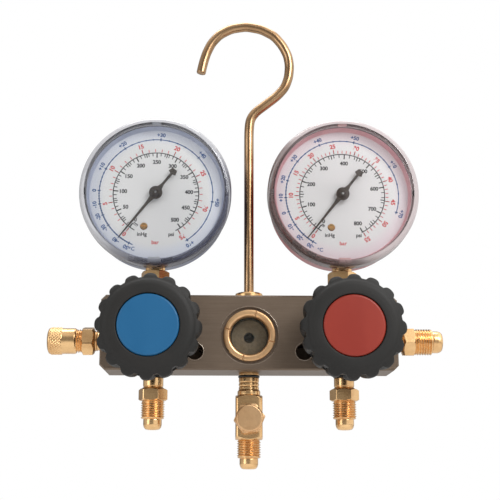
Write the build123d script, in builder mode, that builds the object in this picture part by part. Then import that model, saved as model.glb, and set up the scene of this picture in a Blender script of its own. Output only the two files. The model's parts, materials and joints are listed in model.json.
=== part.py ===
"""Two-valve refrigerant manifold gauge set: block, sight glass, valves, pressure gauges, ports and hook.

Units are millimetres. +X is to the right seen from the front, +Y to the back, +Z up.
The origin is the seat of the hook: the lowest point of the inside of its crown, where it bears on a rail.
"""

import os
from math import atan2, cos, degrees, pi, radians, sin

from build123d import *

os.makedirs("parts", exist_ok=True)

# ---------------------------------------------------------------- driving dimensions
# Block
block_length = 160.0
block_depth = 30.0
block_above = 21.9  # valve axes to the block's top
block_below = 18.6
block_chamfer = 2.6  # corners of the ends
block_edge = 0.8  # long edges
block_drop = 181.8  # hook seat to valve axes
port_spacing = 104.0  # between the low and the high side

# Hook
rod_d = 5.4
loop_offset = -1.0  # loop's centre from the stem's axis
loop_r = 25.4  # centreline of the loop's crown
loop_exit_r = 16.5  # centreline of the loop's tighter lower quarter
loop_exit_turn = 53.5  # degrees from level where the loop leaves for the stem
loop_tip_angle = 169.0
loop_tip_length = 6.2
stem_bend_r = 12.0
hook_foot_d = 8.0
hook_foot_h = 3.0
collar_d = 15.4
collar_round = 1.1
collar_height = 3.5
collar_thread_d = 12.0
collar_depth = 9.0

# Mounting holes in the front of the block
mount_hole_d = 9.0
mount_hole_depth = 22.0
mount_hole_spacing = 58.6
mount_hole_drop = 8.6

# Sight glass
recess_d = 30.6
recess_depth = 1.4
ring_d = 28.0
ring_bore_d = 20.6
ring_length = 6.0
ring_proud = 0.8
ring_slot_w = 0.7
ring_slot_depth = 1.2
ring_turn = -16.0  # where the ring stops when it is screwed home
glass_d = 24.0
glass_thickness = 4.0
seal_section = 1.8
window_d = 19.4
window_depth = 4.0
window_port_d = 6.0

# Valves
bonnet_thread_d = 18.0
bonnet_depth = 9.0
bonnet_af = 21.0
bonnet_hex_h = 6.0
bonnet_neck_d = 13.0
bonnet_neck_h = 3.0
stem_d = 7.0
stem_flat_d = 6.0
chamber_d = 10.0
chamber_depth = 19.0
orifice_d = 3.6
piston_d = 8.8
piston_length = 4.5
stem_ring_section = 1.6
valve_turns = 1.5
valve_pitch = 1.5

# Knobs
knob_front = 38.0  # block face to the cap's face
knob_height = 24.0
knob_lobes = 16
knob_valley_r = 24.4
knob_lobe_r = 3.6
knob_valley_round = 1.0
knob_tip_r = 27.3
knob_shoulder = 4.6  # from the cap's face back to the end of the full lobes
knob_hub_d = 15.0
knob_wall = 3.2
knob_floor = 4.0
cap_d = 31.8
cap_thickness = 2.4
cap_fit = 0.25
cap_sink = 0.3
screw_head_d = 6.4
screw_head_h = 2.2
screw_d = 3.0

# Gauges
lens_d = 84.0
lens_front = 18.5  # gauge port's axis to the lens's face
lens_back = 6.3
lens_thickness = 2.0
lens_wall = 1.5
lens_fit = 0.3
case_front = 12.0
case_shoulder = 12.0
case_back = 15.0
case_back_d = 74.0
case_wall = 1.2
lens_ledge = 2.0  # step inside the lens that bears on the case's rim
dial_fit = 0.7  # radial, between dial and lens
dial_thickness = 0.6
dial_front = 9.0
pointer_front = 12.2
pointer_thickness = 0.6
pointer_length = 32.0
pointer_tail = 17.0
pointer_hub_d = 7.4
pointer_rest = 232.0  # degrees, anticlockwise from +X seen from the front
zero_screw_d = 3.8
zero_screw_x = -6.4
zero_screw_z = -18.6
socket_af = 14.0
socket_hex_h = 11.0
socket_foot = 3.5  # hexagon to washer
socket_gap = 0.6  # lens to hexagon
socket_neck_d = 11.0
socket_thread_d = 9.7
socket_depth = 9.0
socket_bar_w = 11.0
socket_bar_depth = 9.0
socket_bar_top = 10.0  # below the gauge centre
socket_channel_d = 3.0
foot_end = 31.0  # lower end of the movement's back plate, below the gauge centre
movement_screw_spacing = 6.6
movement_screw_drop = 27.0
movement_screw_d = 1.6
movement_head_d = 2.8
movement_head_h = 0.9
movement_screw_length = 4.5
washer_thickness = 1.0

# Gauge movement
gear_module = 0.4
pinion_teeth = 12
sector_full_teeth = 72
sector_teeth = 15
gear_backlash = 0.14
gear_addendum = 0.8  # in modules
gear_dedendum = 1.25
sector_thickness = 1.0
pinion_length = 1.8
arbor_d = 1.4
pivot_d = 1.4
plate_thickness = 0.8
plate_gap = 3.4
plate_width = 11.0
plate_margin = 4.8  # pivots to the ends of the plate
tail_reach = 8.0
tail_angle = -15.0
tube_r = 27.0
tube_radial = 3.0
tube_axial = 7.0
tube_wall = 0.4
tube_start = 261.0  # degrees, where it is brazed into the socket's bar
tube_end = -18.0
tube_tip_length = 3.6
tube_tip_inset = 3.0  # link's pivot, inward of the tube's centreline
link_width = 2.4
link_thickness = 0.6
link_gap = 0.3
bore_clearance = 0.05  # radial, for what turns or slides in a bore

# Flare ports
thread_d = 12.7
port_neck_d = 11.0
port_neck = 8.8
port_hex_af = 14.0
port_hex_h = 6.4
port_thread = 9.9
port_nose_d = 10.0
port_nose = 5.6
port_nose_tip_d = 6.6
port_bore_d = 4.8
port_root_d = 10.6
port_root = 6.0
side_drop = 1.4
side_neck = 4.6
side_thread_d = 14.3
side_nose_d = 12.0
side_nose_tip_d = 8.4
side_hex_af = 14.6
tee_af = 14.6
tee_neck = 12.4
tee_body = 23.6
tee_branch_drop = 44.0
tee_branch_d = 11.0
tee_branch = 11.5
tee_core_d = 5.2
tee_cap_af = 14.6
tee_cap_length = 9.5
tee_cap_wall = 1.6
knurl_cap_d = 15.0
knurl_length = 8.0
knurl_cap_plain_d = 14.0
knurl_cap_plain = 7.6
knurl_cap_gap = 3.2  # port's hexagon to the cap's mouth
cap_gap = 0.3

# ---------------------------------------------------------------- derived places
lens_inner_r = lens_d / 2 - lens_wall
case_r = lens_inner_r - lens_fit
dial_d = 2 * (lens_inner_r - lens_ledge - dial_fit)
hex_top = lens_d / 2 + socket_gap
gauge_rise = block_above + washer_thickness + socket_foot + socket_hex_h + hex_top
port_x = port_spacing / 2
block_z = -block_drop
block_top = block_z + block_above
block_bottom = block_z - block_below
face_y = -block_depth / 2
gauge_z = block_z + gauge_rise
side_z = block_z - side_drop
SIDES = {"low": -1, "high": 1}


def front(x, z, y=0.0):
    """The plane at (x, y, z) whose normal points to the front and whose local y points up."""
    return Plane(origin=(x, y, z), x_dir=(1, 0, 0), z_dir=(0, -1, 0))


def facing(x, y, z, direction):
    """The plane at a point whose normal is a direction along X or Z."""
    across = (0, 1, 0) if direction[0] else (1, 0, 0)
    return Plane(origin=(x, y, z), x_dir=across, z_dir=direction)


def beside(plane, x, y):
    """The same plane moved to a point of its own."""
    return Plane(origin=plane.from_local_coords((x, y, 0)), x_dir=plane.x_dir, z_dir=plane.z_dir)


def turn(plane, stations, mode=Mode.ADD):
    """Revolves (radius, height) stations about a plane's normal, closed on the axis."""
    half = Plane(origin=plane.origin, x_dir=plane.x_dir, z_dir=-plane.y_dir)
    outline = [(0, stations[0][1]), *stations, (0, stations[-1][1])]
    outline = [p for i, p in enumerate(outline) if i == 0 or p != outline[i - 1]]
    with BuildSketch(half) as profile:
        with BuildLine():
            Polyline(*outline, close=True)
        make_face()
    revolve(profile.sketch, axis=Axis(plane.origin, plane.z_dir), mode=mode)


def bore(plane, diameter, start, end):
    """Cuts a round hole along a plane's normal from one height to another."""
    turn(plane, [(diameter / 2, start), (diameter / 2, end)], mode=Mode.SUBTRACT)


def chamfered_hex(plane, flats, start, end, ends=(True, True)):
    """A hexagonal prism with its corners turned off at 30 degrees at the ends that ask for it."""
    with BuildSketch(plane.offset(start)) as outline:
        RegularPolygon(radius=flats / 2, side_count=6, major_radius=False, rotation=12)
    extrude(outline.sketch, amount=end - start)
    corner, flat = flats / 2 * 1.16, flats / 2 * 0.97
    drop = (corner - flat) * 0.577
    first = [(flat, start), (corner, start + drop)] if ends[0] else [(corner, start)]
    last = [(corner, end - drop), (flat, end)] if ends[1] else [(corner, end)]
    turn(plane, first + last, mode=Mode.INTERSECT)


def save(part, name):
    """Labels a finished piece and writes it as its own STEP file."""
    part.label = name
    export_step(part, f"parts/{name}.step")


# ---------------------------------------------------------------- manifold block
gallery_y = 9.0  # the passage behind the valves that joins them to the centre port
gallery_d = 5.0
chamber_end = face_y + chamber_depth
window_floor = recess_depth + ring_length + glass_thickness + window_depth - ring_proud
port_passage = block_below - 2.0  # top of the centre port's passage, above the block's bottom
socket_end = block_top - socket_depth
port_root_end = block_bottom + port_root

with BuildPart() as block:
    with BuildSketch(Plane.XY.offset(block_bottom)):
        Rectangle(block_length, block_depth)
    extrude(amount=block_above + block_below)
    chamfer(block.edges().filter_by(Axis.Y), length=block_chamfer)
    chamfer(block.faces().sort_by(Axis.Y)[0].edges(), length=block_edge)
    chamfer(block.faces().sort_by(Axis.Y)[-1].edges(), length=block_edge)
    with Locations(front(0, block_z - mount_hole_drop, face_y)):
        with GridLocations(mount_hole_spacing, 1, 2, 1):
            Hole(mount_hole_d / 2, depth=mount_hole_depth)
    # Sight glass: recess, ring thread, glass seat, window and its port to the gallery
    glass_plane = front(0, block_z, face_y)
    bore(glass_plane, recess_d, 0, -recess_depth)
    bore(glass_plane, ring_d, 0, -(recess_depth + ring_length - ring_proud))
    bore(glass_plane, glass_d + 2 * bore_clearance, 0, -(window_floor - window_depth))
    bore(glass_plane, window_d, 0, -window_floor)
    bore(glass_plane, window_port_d, 0, -(gallery_y - face_y))
    bore(facing(-port_x, gallery_y, block_z, (1, 0, 0)), gallery_d, 0, port_spacing)
    # Hook socket in the top, centre port root in the bottom
    bore(facing(0, 0, block_top, (0, 0, 1)), collar_thread_d, 0, -collar_depth)
    bore(facing(0, 0, block_bottom, (0, 0, 1)), port_root_d, 0, port_root)
    bore(facing(0, gallery_y / 2, block_bottom, (0, 0, 1)), port_bore_d, port_root - 1, port_passage)
    for sign in SIDES.values():
        x = sign * port_x
        valve_plane = front(x, block_z, face_y)
        bore(valve_plane, bonnet_thread_d, 0, -bonnet_depth)
        bore(valve_plane, chamber_d, 0, -chamber_depth)
        bore(valve_plane, orifice_d, 0, -(gallery_y - face_y))
        bore(facing(x, 0, block_top, (0, 0, 1)), socket_thread_d, 0, -socket_depth)
        bore(facing(x, 0, socket_end, (0, 0, -1)), port_bore_d, -1, block_above - socket_depth)
        bore(facing(x, 0, block_bottom, (0, 0, 1)), port_root_d, 0, port_root)
        bore(facing(x, 0, port_root_end, (0, 0, 1)), port_bore_d, -1, block_below - port_root)
        side_plane = facing(sign * block_length / 2, 0, side_z, (-sign, 0, 0))
        bore(side_plane, port_root_d, 0, port_root)
        bore(side_plane, port_bore_d, 0, block_length / 2 - port_x)
save(block.part, "manifold_block")

# ---------------------------------------------------------------- sight glass
ring_front = ring_proud - recess_depth  # above the block's face
ring_plane = front(0, block_z, face_y)
with BuildPart() as sight_ring:
    turn(
        ring_plane,
        [
            (ring_d / 2, ring_front - ring_length),
            (ring_d / 2, ring_front - 0.5),
            (ring_d / 2 - 0.5, ring_front),
        ],
    )
    bore(ring_plane, ring_bore_d, ring_front - ring_length, ring_front)
    chamfer(sight_ring.edges().group_by(Axis.Y)[0].sort_by(SortBy.RADIUS)[0], length=0.5)
    with BuildSketch(ring_plane.offset(ring_front)):
        with PolarLocations((ring_d + ring_bore_d) / 4, 4, start_angle=ring_turn):
            Rectangle(ring_d, ring_slot_w)
        Circle(ring_bore_d / 2 - 0.1, mode=Mode.SUBTRACT)
    extrude(amount=-ring_slot_depth, mode=Mode.SUBTRACT)
save(sight_ring.part, "sight_glass_ring")

glass_front = ring_front - ring_length
glass_back = glass_front - glass_thickness
with BuildPart() as sight_glass:
    turn(ring_plane, [(glass_d / 2, glass_back), (glass_d / 2, glass_front)])
    # Groove for the seal, round the edge
    with BuildSketch(Plane(origin=ring_plane.origin, x_dir=(1, 0, 0), z_dir=(0, 0, -1))) as groove:
        with Locations((glass_d / 2, glass_front - glass_thickness / 2)):
            Rectangle(2 * seal_section, seal_section + 0.4)
    revolve(groove.sketch, axis=Axis(ring_plane.origin, (0, -1, 0)), mode=Mode.SUBTRACT)
save(sight_glass.part, "sight_glass")

with BuildPart() as sight_seal:
    with BuildSketch(Plane(origin=ring_plane.origin, x_dir=(1, 0, 0), z_dir=(0, 0, -1))) as section:
        with Locations((glass_d / 2 - seal_section / 2, glass_front - glass_thickness / 2)):
            Circle(seal_section / 2)
    revolve(section.sketch, axis=Axis(ring_plane.origin, (0, -1, 0)))
save(sight_seal.part, "sight_glass_seal")

# ---------------------------------------------------------------- hook and its collar
loop_z = rod_d / 2 - loop_r  # loop's centre, so that the origin is the seat inside its crown
exit_x = loop_offset + loop_r - loop_exit_r
tip_start = (
    loop_offset + loop_r * cos(radians(loop_tip_angle)),
    loop_z + loop_r * sin(radians(loop_tip_angle)),
)
tip_way = (-sin(radians(loop_tip_angle)), cos(radians(loop_tip_angle)))
tip_end = (tip_start[0] + tip_way[0] * loop_tip_length, tip_start[1] + tip_way[1] * loop_tip_length)
exit_point = (
    exit_x + loop_exit_r * cos(radians(loop_exit_turn)),
    loop_z - loop_exit_r * sin(radians(loop_exit_turn)),
)
# The straight diagonal leaves at a tangent and meets the stem's axis here
corner_z = exit_point[1] - exit_point[0] / sin(radians(loop_exit_turn)) * cos(radians(loop_exit_turn))
hook_bottom = block_top - collar_depth + 1.0 + hook_foot_h

with BuildPart() as hook:
    with BuildLine(Plane.XZ) as hook_line:
        crown = CenterArc((loop_offset, loop_z), loop_r, 0, loop_tip_angle)
        tip = Line(tip_start, tip_end)
        lower = CenterArc((exit_x, loop_z), loop_exit_r, -loop_exit_turn, loop_exit_turn)
        shank = FilletPolyline(exit_point, (0, corner_z), (0, hook_bottom), radius=stem_bend_r)
    with BuildSketch(Plane.XY.offset(hook_bottom)):
        Circle(rod_d / 2)
    sweep(path=hook_line.wire())
    fillet(hook.faces().sort_by(Axis.X)[0].edges(), radius=0.8)
    turn(
        facing(0, 0, hook_bottom - hook_foot_h, (0, 0, 1)),
        [(hook_foot_d / 2, 0), (hook_foot_d / 2, hook_foot_h), (rod_d / 2, hook_foot_h)],
    )
save(hook.part, "hook")

collar_plane = facing(0, 0, block_top, (0, 0, 1))
collar_foot = collar_depth - hook_foot_h - 1.6
with BuildPart() as collar:
    turn(
        collar_plane,
        [
            (collar_thread_d / 2, -collar_foot),
            (collar_thread_d / 2, 0),
            (collar_d / 2, 0),
            (collar_d / 2, collar_height - collar_round),
            (collar_d / 2 - 0.3 * collar_round, collar_height - 0.3 * collar_round),
            (collar_d / 2 - collar_round, collar_height),
        ],
    )
    bore(collar_plane, rod_d + 2 * bore_clearance, -collar_foot, collar_height)
save(collar.part, "hook_collar")


# ---------------------------------------------------------------- flare ports
def flare_port(plane, neck, thread, nose, nose_tip, hex_flats):
    """A male flare port standing on a plane, its root going back into the block."""
    top = neck + port_hex_h
    with BuildPart() as port:
        chamfered_hex(plane, hex_flats, neck, top)
        turn(
            plane,
            [
                (port_root_d / 2, -port_root + 0.5),
                (port_root_d / 2, 0),
                (port_neck_d / 2, 0),
                (port_neck_d / 2, neck),
            ],
        )
        turn(
            plane,
            [
                (thread / 2 - 0.6, top),
                (thread / 2, top + 0.6),
                (thread / 2, top + port_thread - 0.4),
                (nose / 2, top + port_thread + 0.2),
                (nose / 2, top + port_thread + port_nose - (nose - nose_tip) / 2),
                (nose_tip / 2, top + port_thread + port_nose),
            ],
        )
        bore(plane, port_bore_d, -port_root, top + port_thread + port_nose)
        # The mouth of the bore is countersunk
        turn(
            plane,
            [
                (port_bore_d / 2, top + port_thread + port_nose - 0.5),
                (port_bore_d / 2 + 0.5, top + port_thread + port_nose),
            ],
            mode=Mode.SUBTRACT,
        )
    return port.part


for side, sign in SIDES.items():
    hose_plane = facing(sign * port_x, 0, block_bottom, (0, 0, -1))
    save(
        flare_port(hose_plane, port_neck, thread_d, port_nose_d, port_nose_tip_d, port_hex_af),
        f"hose_port_{side}",
    )

side_high = facing(block_length / 2, 0, side_z, (1, 0, 0))
side_low = facing(-block_length / 2, 0, side_z, (-1, 0, 0))
save(
    flare_port(side_high, side_neck, side_thread_d, side_nose_d, side_nose_tip_d, side_hex_af),
    "side_port_high",
)
save(
    flare_port(side_low, side_neck, thread_d, port_nose_d, port_nose_tip_d, port_hex_af),
    "side_port_low",
)

# Knurled cap on the low side port, screwed over its thread
cap_mouth = side_neck + port_hex_h + knurl_cap_gap
cap_end = cap_mouth + knurl_cap_plain + knurl_length
cap_inside = side_neck + port_hex_h + port_thread + port_nose + cap_gap
with BuildPart() as side_cap:
    turn(
        side_low,
        [
            (knurl_cap_plain_d / 2 - 0.7, cap_mouth),
            (knurl_cap_plain_d / 2, cap_mouth + 0.7),
            (knurl_cap_plain_d / 2, cap_end - knurl_length),
            (knurl_cap_d / 2, cap_end - knurl_length + 0.5),
            (knurl_cap_d / 2, cap_end - 2.0),
            (knurl_cap_d / 2 - 0.7, cap_end - 0.7),
            (knurl_cap_d / 2 - 2.2, cap_end),
        ],
    )
    bore(side_low, thread_d + 2 * bore_clearance, cap_mouth, side_neck + port_hex_h + port_thread + cap_gap)
    bore(side_low, port_nose_d + 1.0, cap_mouth, cap_inside)
save(side_cap.part, "side_port_cap")

# ---------------------------------------------------------------- centre port tee
tee_plane = facing(0, 0, block_bottom, (0, 0, -1))
tee_body_end = tee_neck + tee_body
branch_plane = front(0, block_z - tee_branch_drop)
tee_tip = tee_body_end + port_thread + port_nose
with BuildPart() as tee:
    with BuildSketch(tee_plane.offset(tee_neck)) as bar:
        RectangleRounded(tee_af, tee_af, 2.4)
    extrude(bar.sketch, amount=tee_body)
    turn(
        tee_plane,
        [
            (tee_af / 2 - 0.4, tee_neck),
            (tee_af / 2 * 1.22, tee_neck + 1.8),
            (tee_af / 2 * 1.22, tee_body_end - 1.8),
            (tee_af / 2 - 0.4, tee_body_end),
        ],
        mode=Mode.INTERSECT,
    )
    turn(
        tee_plane,
        [
            (port_root_d / 2, -port_root + 0.5),
            (port_root_d / 2, 0),
            (port_neck_d / 2, 0),
            (port_neck_d / 2, tee_neck - 2.6),
            (port_neck_d / 2 + 0.5, tee_neck - 2.2),
            (port_neck_d / 2 + 0.5, tee_neck),
        ],
    )
    turn(
        tee_plane,
        [
            (thread_d / 2 - 0.6, tee_body_end),
            (thread_d / 2, tee_body_end + 0.6),
            (thread_d / 2, tee_body_end + port_thread - 0.4),
            (port_nose_d / 2, tee_body_end + port_thread + 0.2),
            (port_nose_d / 2, tee_tip - (port_nose_d - port_nose_tip_d) / 2),
            (port_nose_tip_d / 2, tee_tip),
        ],
    )
    turn(branch_plane, [(tee_branch_d / 2, tee_af / 2 - 1), (tee_branch_d / 2, tee_branch)])
    bore(tee_plane, port_bore_d, -port_root, tee_tip)
    bore(branch_plane, tee_core_d, 0, tee_branch)
save(tee.part, "centre_port_tee")

core_length = 8.0
core_pin_d = 1.4
with BuildPart() as core:
    turn(
        branch_plane,
        [(tee_core_d / 2, tee_branch - 1.0 - core_length), (tee_core_d / 2, tee_branch - 1.0)],
    )
    bore(branch_plane, core_pin_d + 2 * bore_clearance, 0, tee_branch)
save(core.part, "valve_core")

with BuildPart() as core_pin:
    turn(
        branch_plane,
        [
            (1.9, tee_branch - core_length - 2.2),
            (1.9, tee_branch - core_length - 1.2),
            (core_pin_d / 2, tee_branch - core_length - 1.2),
            (core_pin_d / 2, tee_branch - 0.2),
        ],
    )
save(core_pin.part, "valve_core_pin")

tee_cap_mouth = tee_af / 2 + 0.4
with BuildPart() as tee_cap:
    chamfered_hex(branch_plane, tee_cap_af, tee_cap_mouth, tee_cap_mouth + tee_cap_length, (False, True))
    bore(branch_plane, tee_branch_d + 2 * bore_clearance, tee_cap_mouth, tee_branch + cap_gap)
save(tee_cap.part, "centre_port_cap")

# ---------------------------------------------------------------- valves and knobs
bonnet_top = bonnet_hex_h + bonnet_neck_h
knob_back = knob_front - knob_height
stem_top = knob_front - cap_thickness - cap_sink - screw_head_h - 1.0
piston_front = -chamber_depth + piston_length  # piston rests on its seat at the chamber's end
lobe_circle_r = knob_tip_r - knob_lobe_r


def make_bonnet(plane):
    with BuildPart() as bonnet:
        chamfered_hex(plane, bonnet_af, 0, bonnet_hex_h, (False, True))
        turn(plane, [(bonnet_thread_d / 2, 0.5 - bonnet_depth), (bonnet_thread_d / 2, 0)])
        turn(
            plane,
            [
                (bonnet_neck_d / 2, 0),
                (bonnet_neck_d / 2, bonnet_top - 0.6),
                (bonnet_neck_d / 2 - 0.6, bonnet_top),
            ],
        )
        bore(plane, stem_d + 2 * bore_clearance, -bonnet_depth, bonnet_top)
    return bonnet.part


def make_piston(plane):
    """The seat piston: it slides with the stem but doesn't turn. Its tip seals the orifice."""
    with BuildPart() as piston:
        turn(plane, [(piston_d / 2, -chamber_depth + 0.3), (piston_d / 2, piston_front)])
        bore(plane, stem_d - 2.0 + 2 * bore_clearance, piston_front - 2.2, piston_front)
    return piston.part


def make_stem(plane):
    groove = -bonnet_depth / 2
    half = Plane(origin=plane.origin, x_dir=(1, 0, 0), z_dir=(0, 0, -1))
    with BuildPart() as stem:
        turn(
            plane,
            [
                (stem_d / 2 - 1.0, piston_front - 2.0),
                (stem_d / 2 - 1.0, piston_front + 0.2),
                (stem_d / 2, piston_front + 0.2),
                (stem_d / 2, knob_back + knob_wall),
                (stem_flat_d / 2, knob_back + knob_wall),
                (stem_flat_d / 2, stem_top),
            ],
        )
        with BuildSketch(half) as ring_groove:
            with Locations((stem_d / 2, groove)):
                Rectangle(2 * stem_ring_section, stem_ring_section + 0.4)
        revolve(ring_groove.sketch, axis=Axis(plane.origin, plane.z_dir), mode=Mode.SUBTRACT)
        # A flat drives the knob
        with BuildSketch(plane.offset(knob_back + knob_wall)) as flat:
            with Locations((0, stem_flat_d / 2)):
                Rectangle(stem_flat_d, 1.6)
        extrude(flat.sketch, amount=stem_top, mode=Mode.SUBTRACT)
        bore(plane, screw_d, stem_top - 7, stem_top)
    return stem.part


def make_stem_ring(plane):
    half = Plane(origin=plane.origin, x_dir=(1, 0, 0), z_dir=(0, 0, -1))
    with BuildPart() as ring:
        with BuildSketch(half) as section:
            with Locations((stem_d / 2 - stem_ring_section / 2, -bonnet_depth / 2)):
                Circle(stem_ring_section / 2)
        revolve(section.sketch, axis=Axis(plane.origin, plane.z_dir))
    return ring.part


def make_knob(plane):
    """A moulded handwheel: sixteen lobes fading into a smooth domed front, hollow behind."""
    rim_r = cap_d / 2 + 2.6
    with BuildPart() as knob:
        with BuildSketch(plane.offset(knob_back)) as wheel:
            Circle(knob_valley_r)
            with PolarLocations(lobe_circle_r, knob_lobes):
                Circle(knob_lobe_r)
            fillet(wheel.vertices(), radius=knob_valley_round)
        extrude(wheel.sketch, amount=knob_height)
        turn(
            plane,
            [
                (knob_tip_r - 3.0, knob_back),
                (knob_tip_r, knob_back + 1.5),
                (knob_tip_r, knob_front - knob_shoulder),
                (knob_tip_r - 0.8, knob_front - 0.78 * knob_shoulder),
                (knob_valley_r - 0.6, knob_front - 0.60 * knob_shoulder),
                (knob_valley_r - 1.9, knob_front - 0.38 * knob_shoulder),
                (knob_valley_r - 4.4, knob_front - 0.12 * knob_shoulder),
                (rim_r, knob_front),
                (rim_r - 1.8, knob_front),
            ],
            mode=Mode.INTERSECT,
        )
        # Recess for the coloured cap, and the deeper well for the fixing screw
        bore(plane, cap_d + 2 * cap_fit, knob_front - cap_sink - cap_thickness, knob_front)
        bore(plane, knob_hub_d - 3, stem_top, knob_front)
        # Hollow back, leaving the hub
        turn(
            plane,
            [
                (knob_valley_r - knob_wall, knob_back),
                (knob_valley_r - knob_wall - 1, knob_front - cap_sink - cap_thickness - knob_floor),
            ],
            mode=Mode.SUBTRACT,
        )
        turn(plane, [(knob_hub_d / 2, knob_back + 2.0), (knob_hub_d / 2, stem_top)])
        bore(plane, stem_d + 2 * bore_clearance, knob_back, knob_back + knob_wall)
        # The hub's bore has the stem's flat
        with BuildSketch(plane.offset(knob_back + knob_wall)) as socket:
            Circle(stem_flat_d / 2 + bore_clearance)
            with Locations((0, stem_flat_d / 2)):
                Rectangle(stem_flat_d + 1, 1.6 - 2 * bore_clearance, mode=Mode.SUBTRACT)
        extrude(socket.sketch, amount=stem_top - knob_back - knob_wall, mode=Mode.SUBTRACT)
    return knob.part


def make_cap(plane):
    with BuildPart() as cap:
        turn(
            plane,
            [
                (cap_d / 2 - 0.4, knob_front - cap_sink - cap_thickness),
                (cap_d / 2, knob_front - cap_sink - cap_thickness + 0.4),
                (cap_d / 2, knob_front - 0.9),
                (cap_d / 2 - 0.35, knob_front - 0.25),
                (cap_d / 2 - 1.1, knob_front),
            ],
        )
    return cap.part


def make_screw(plane):
    with BuildPart() as screw:
        turn(
            plane,
            [
                (screw_d / 2 - bore_clearance, stem_top - 6.5),
                (screw_d / 2 - bore_clearance, stem_top + 0.02),
                (screw_head_d / 2, stem_top + 0.02),
                (screw_head_d / 2, stem_top + screw_head_h - 0.4),
                (screw_head_d / 2 - 0.4, stem_top + screw_head_h),
            ],
        )
        with BuildSketch(plane.offset(stem_top + screw_head_h)) as drive:
            RegularPolygon(radius=1.25, side_count=6)
        extrude(drive.sketch, amount=-1.3, mode=Mode.SUBTRACT)
    return screw.part


VALVE_PARTS = {
    "valve_bonnet": make_bonnet,
    "valve_piston": make_piston,
    "valve_stem": make_stem,
    "stem_seal": make_stem_ring,
    "knob": make_knob,
    "knob_cap": make_cap,
    "knob_screw": make_screw,
}
for side, sign in SIDES.items():
    valve_plane = front(sign * port_x, block_z, face_y)
    for name, make in VALVE_PARTS.items():
        save(make(valve_plane), f"{name}_{side}")

# ---------------------------------------------------------------- gauges
sector_r = gear_module * sector_full_teeth / 2
pinion_r = gear_module * pinion_teeth / 2
gear_centres = sector_r + pinion_r
plate_front = dial_front - dial_thickness - 1.6  # front face of the movement's front plate
back_plate_front = plate_front - plate_thickness - plate_gap
sector_front = plate_front - plate_thickness - plate_gap / 2 + sector_thickness / 2
bar_front = back_plate_front - plate_thickness
tail_x = tail_reach * cos(radians(tail_angle))
tail_z = tail_reach * sin(radians(tail_angle)) - gear_centres
tube_middle = bar_front - tube_axial / 2 - 0.2
tip_eye_r = tube_r - tube_tip_inset
tip_eye_angle = tube_end - tube_tip_length / 2 / tip_eye_r * 180 / pi
tip_eye = (tip_eye_r * cos(radians(tip_eye_angle)), tip_eye_r * sin(radians(tip_eye_angle)))
link_length = ((tip_eye[0] - tail_x) ** 2 + (tip_eye[1] - tail_z) ** 2) ** 0.5
link_angle = degrees(atan2(tip_eye[1] - tail_z, tip_eye[0] - tail_x))
link_back = sector_front + 0.2


def make_case(plane):
    """A deep-drawn cup with four lugs that the lens snaps over, and a hole for the socket."""
    with BuildPart() as case:
        turn(
            plane,
            [
                (case_back_d / 2 - 3, -case_back),
                (case_back_d / 2, -case_back + 1),
                (case_r - 1.6, -case_shoulder),
                (case_r, -case_shoulder + 3),
                (case_r, case_front),
            ],
        )
        turn(
            plane,
            [
                (case_back_d / 2 - 3, -case_back + case_wall),
                (case_back_d / 2 - case_wall, -case_back + case_wall + 1),
                (case_r - 1.6 - case_wall, -case_shoulder),
                (case_r - case_wall, -case_shoulder + 3),
                (case_r - case_wall, case_front),
            ],
            mode=Mode.SUBTRACT,
        )
        neck = facing(plane.origin.X, 0, gauge_z, (0, 0, -1))
        bore(neck, socket_neck_d + 0.6, case_r - 6, case_r + 1)
    return case.part


def make_lens(plane):
    """A clear cover that goes over the case's front, with a window at each lug."""
    with BuildPart() as lens:
        turn(
            plane,
            [
                (lens_d / 2 - 0.5, lens_back),
                (lens_d / 2, lens_back + 0.5),
                (lens_d / 2, lens_front - 3.2),
                (lens_d / 2 - 1.0, lens_front - 1.4),
                (lens_d / 2 - 3.0, lens_front - 0.5),
                (lens_d / 2 - 7.0, lens_front),
            ],
        )
        bore(plane, 2 * lens_inner_r, lens_back, case_front + 0.3)
        bore(plane, 2 * (lens_inner_r - lens_ledge), lens_back, lens_front - lens_thickness)
        with BuildSketch(plane.offset(lens_back)) as windows:
            with PolarLocations(lens_inner_r + lens_wall / 2, 4):
                Rectangle(2 * lens_wall + 0.4, 5.0)
        extrude(windows.sketch, amount=2.4, mode=Mode.SUBTRACT)
    return lens.part


def make_dial(plane):
    with BuildPart() as dial:
        turn(plane, [(dial_d / 2, dial_front - dial_thickness), (dial_d / 2, dial_front)])
        bore(plane, arbor_d + 1.6, 0, dial_front)
        with BuildSketch(plane.offset(dial_front)) as screw_hole:
            with Locations((zero_screw_x, zero_screw_z)):
                Circle(zero_screw_d / 2 + 0.2)
        extrude(screw_hole.sketch, amount=-dial_thickness, mode=Mode.SUBTRACT)
    return dial.part


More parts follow.
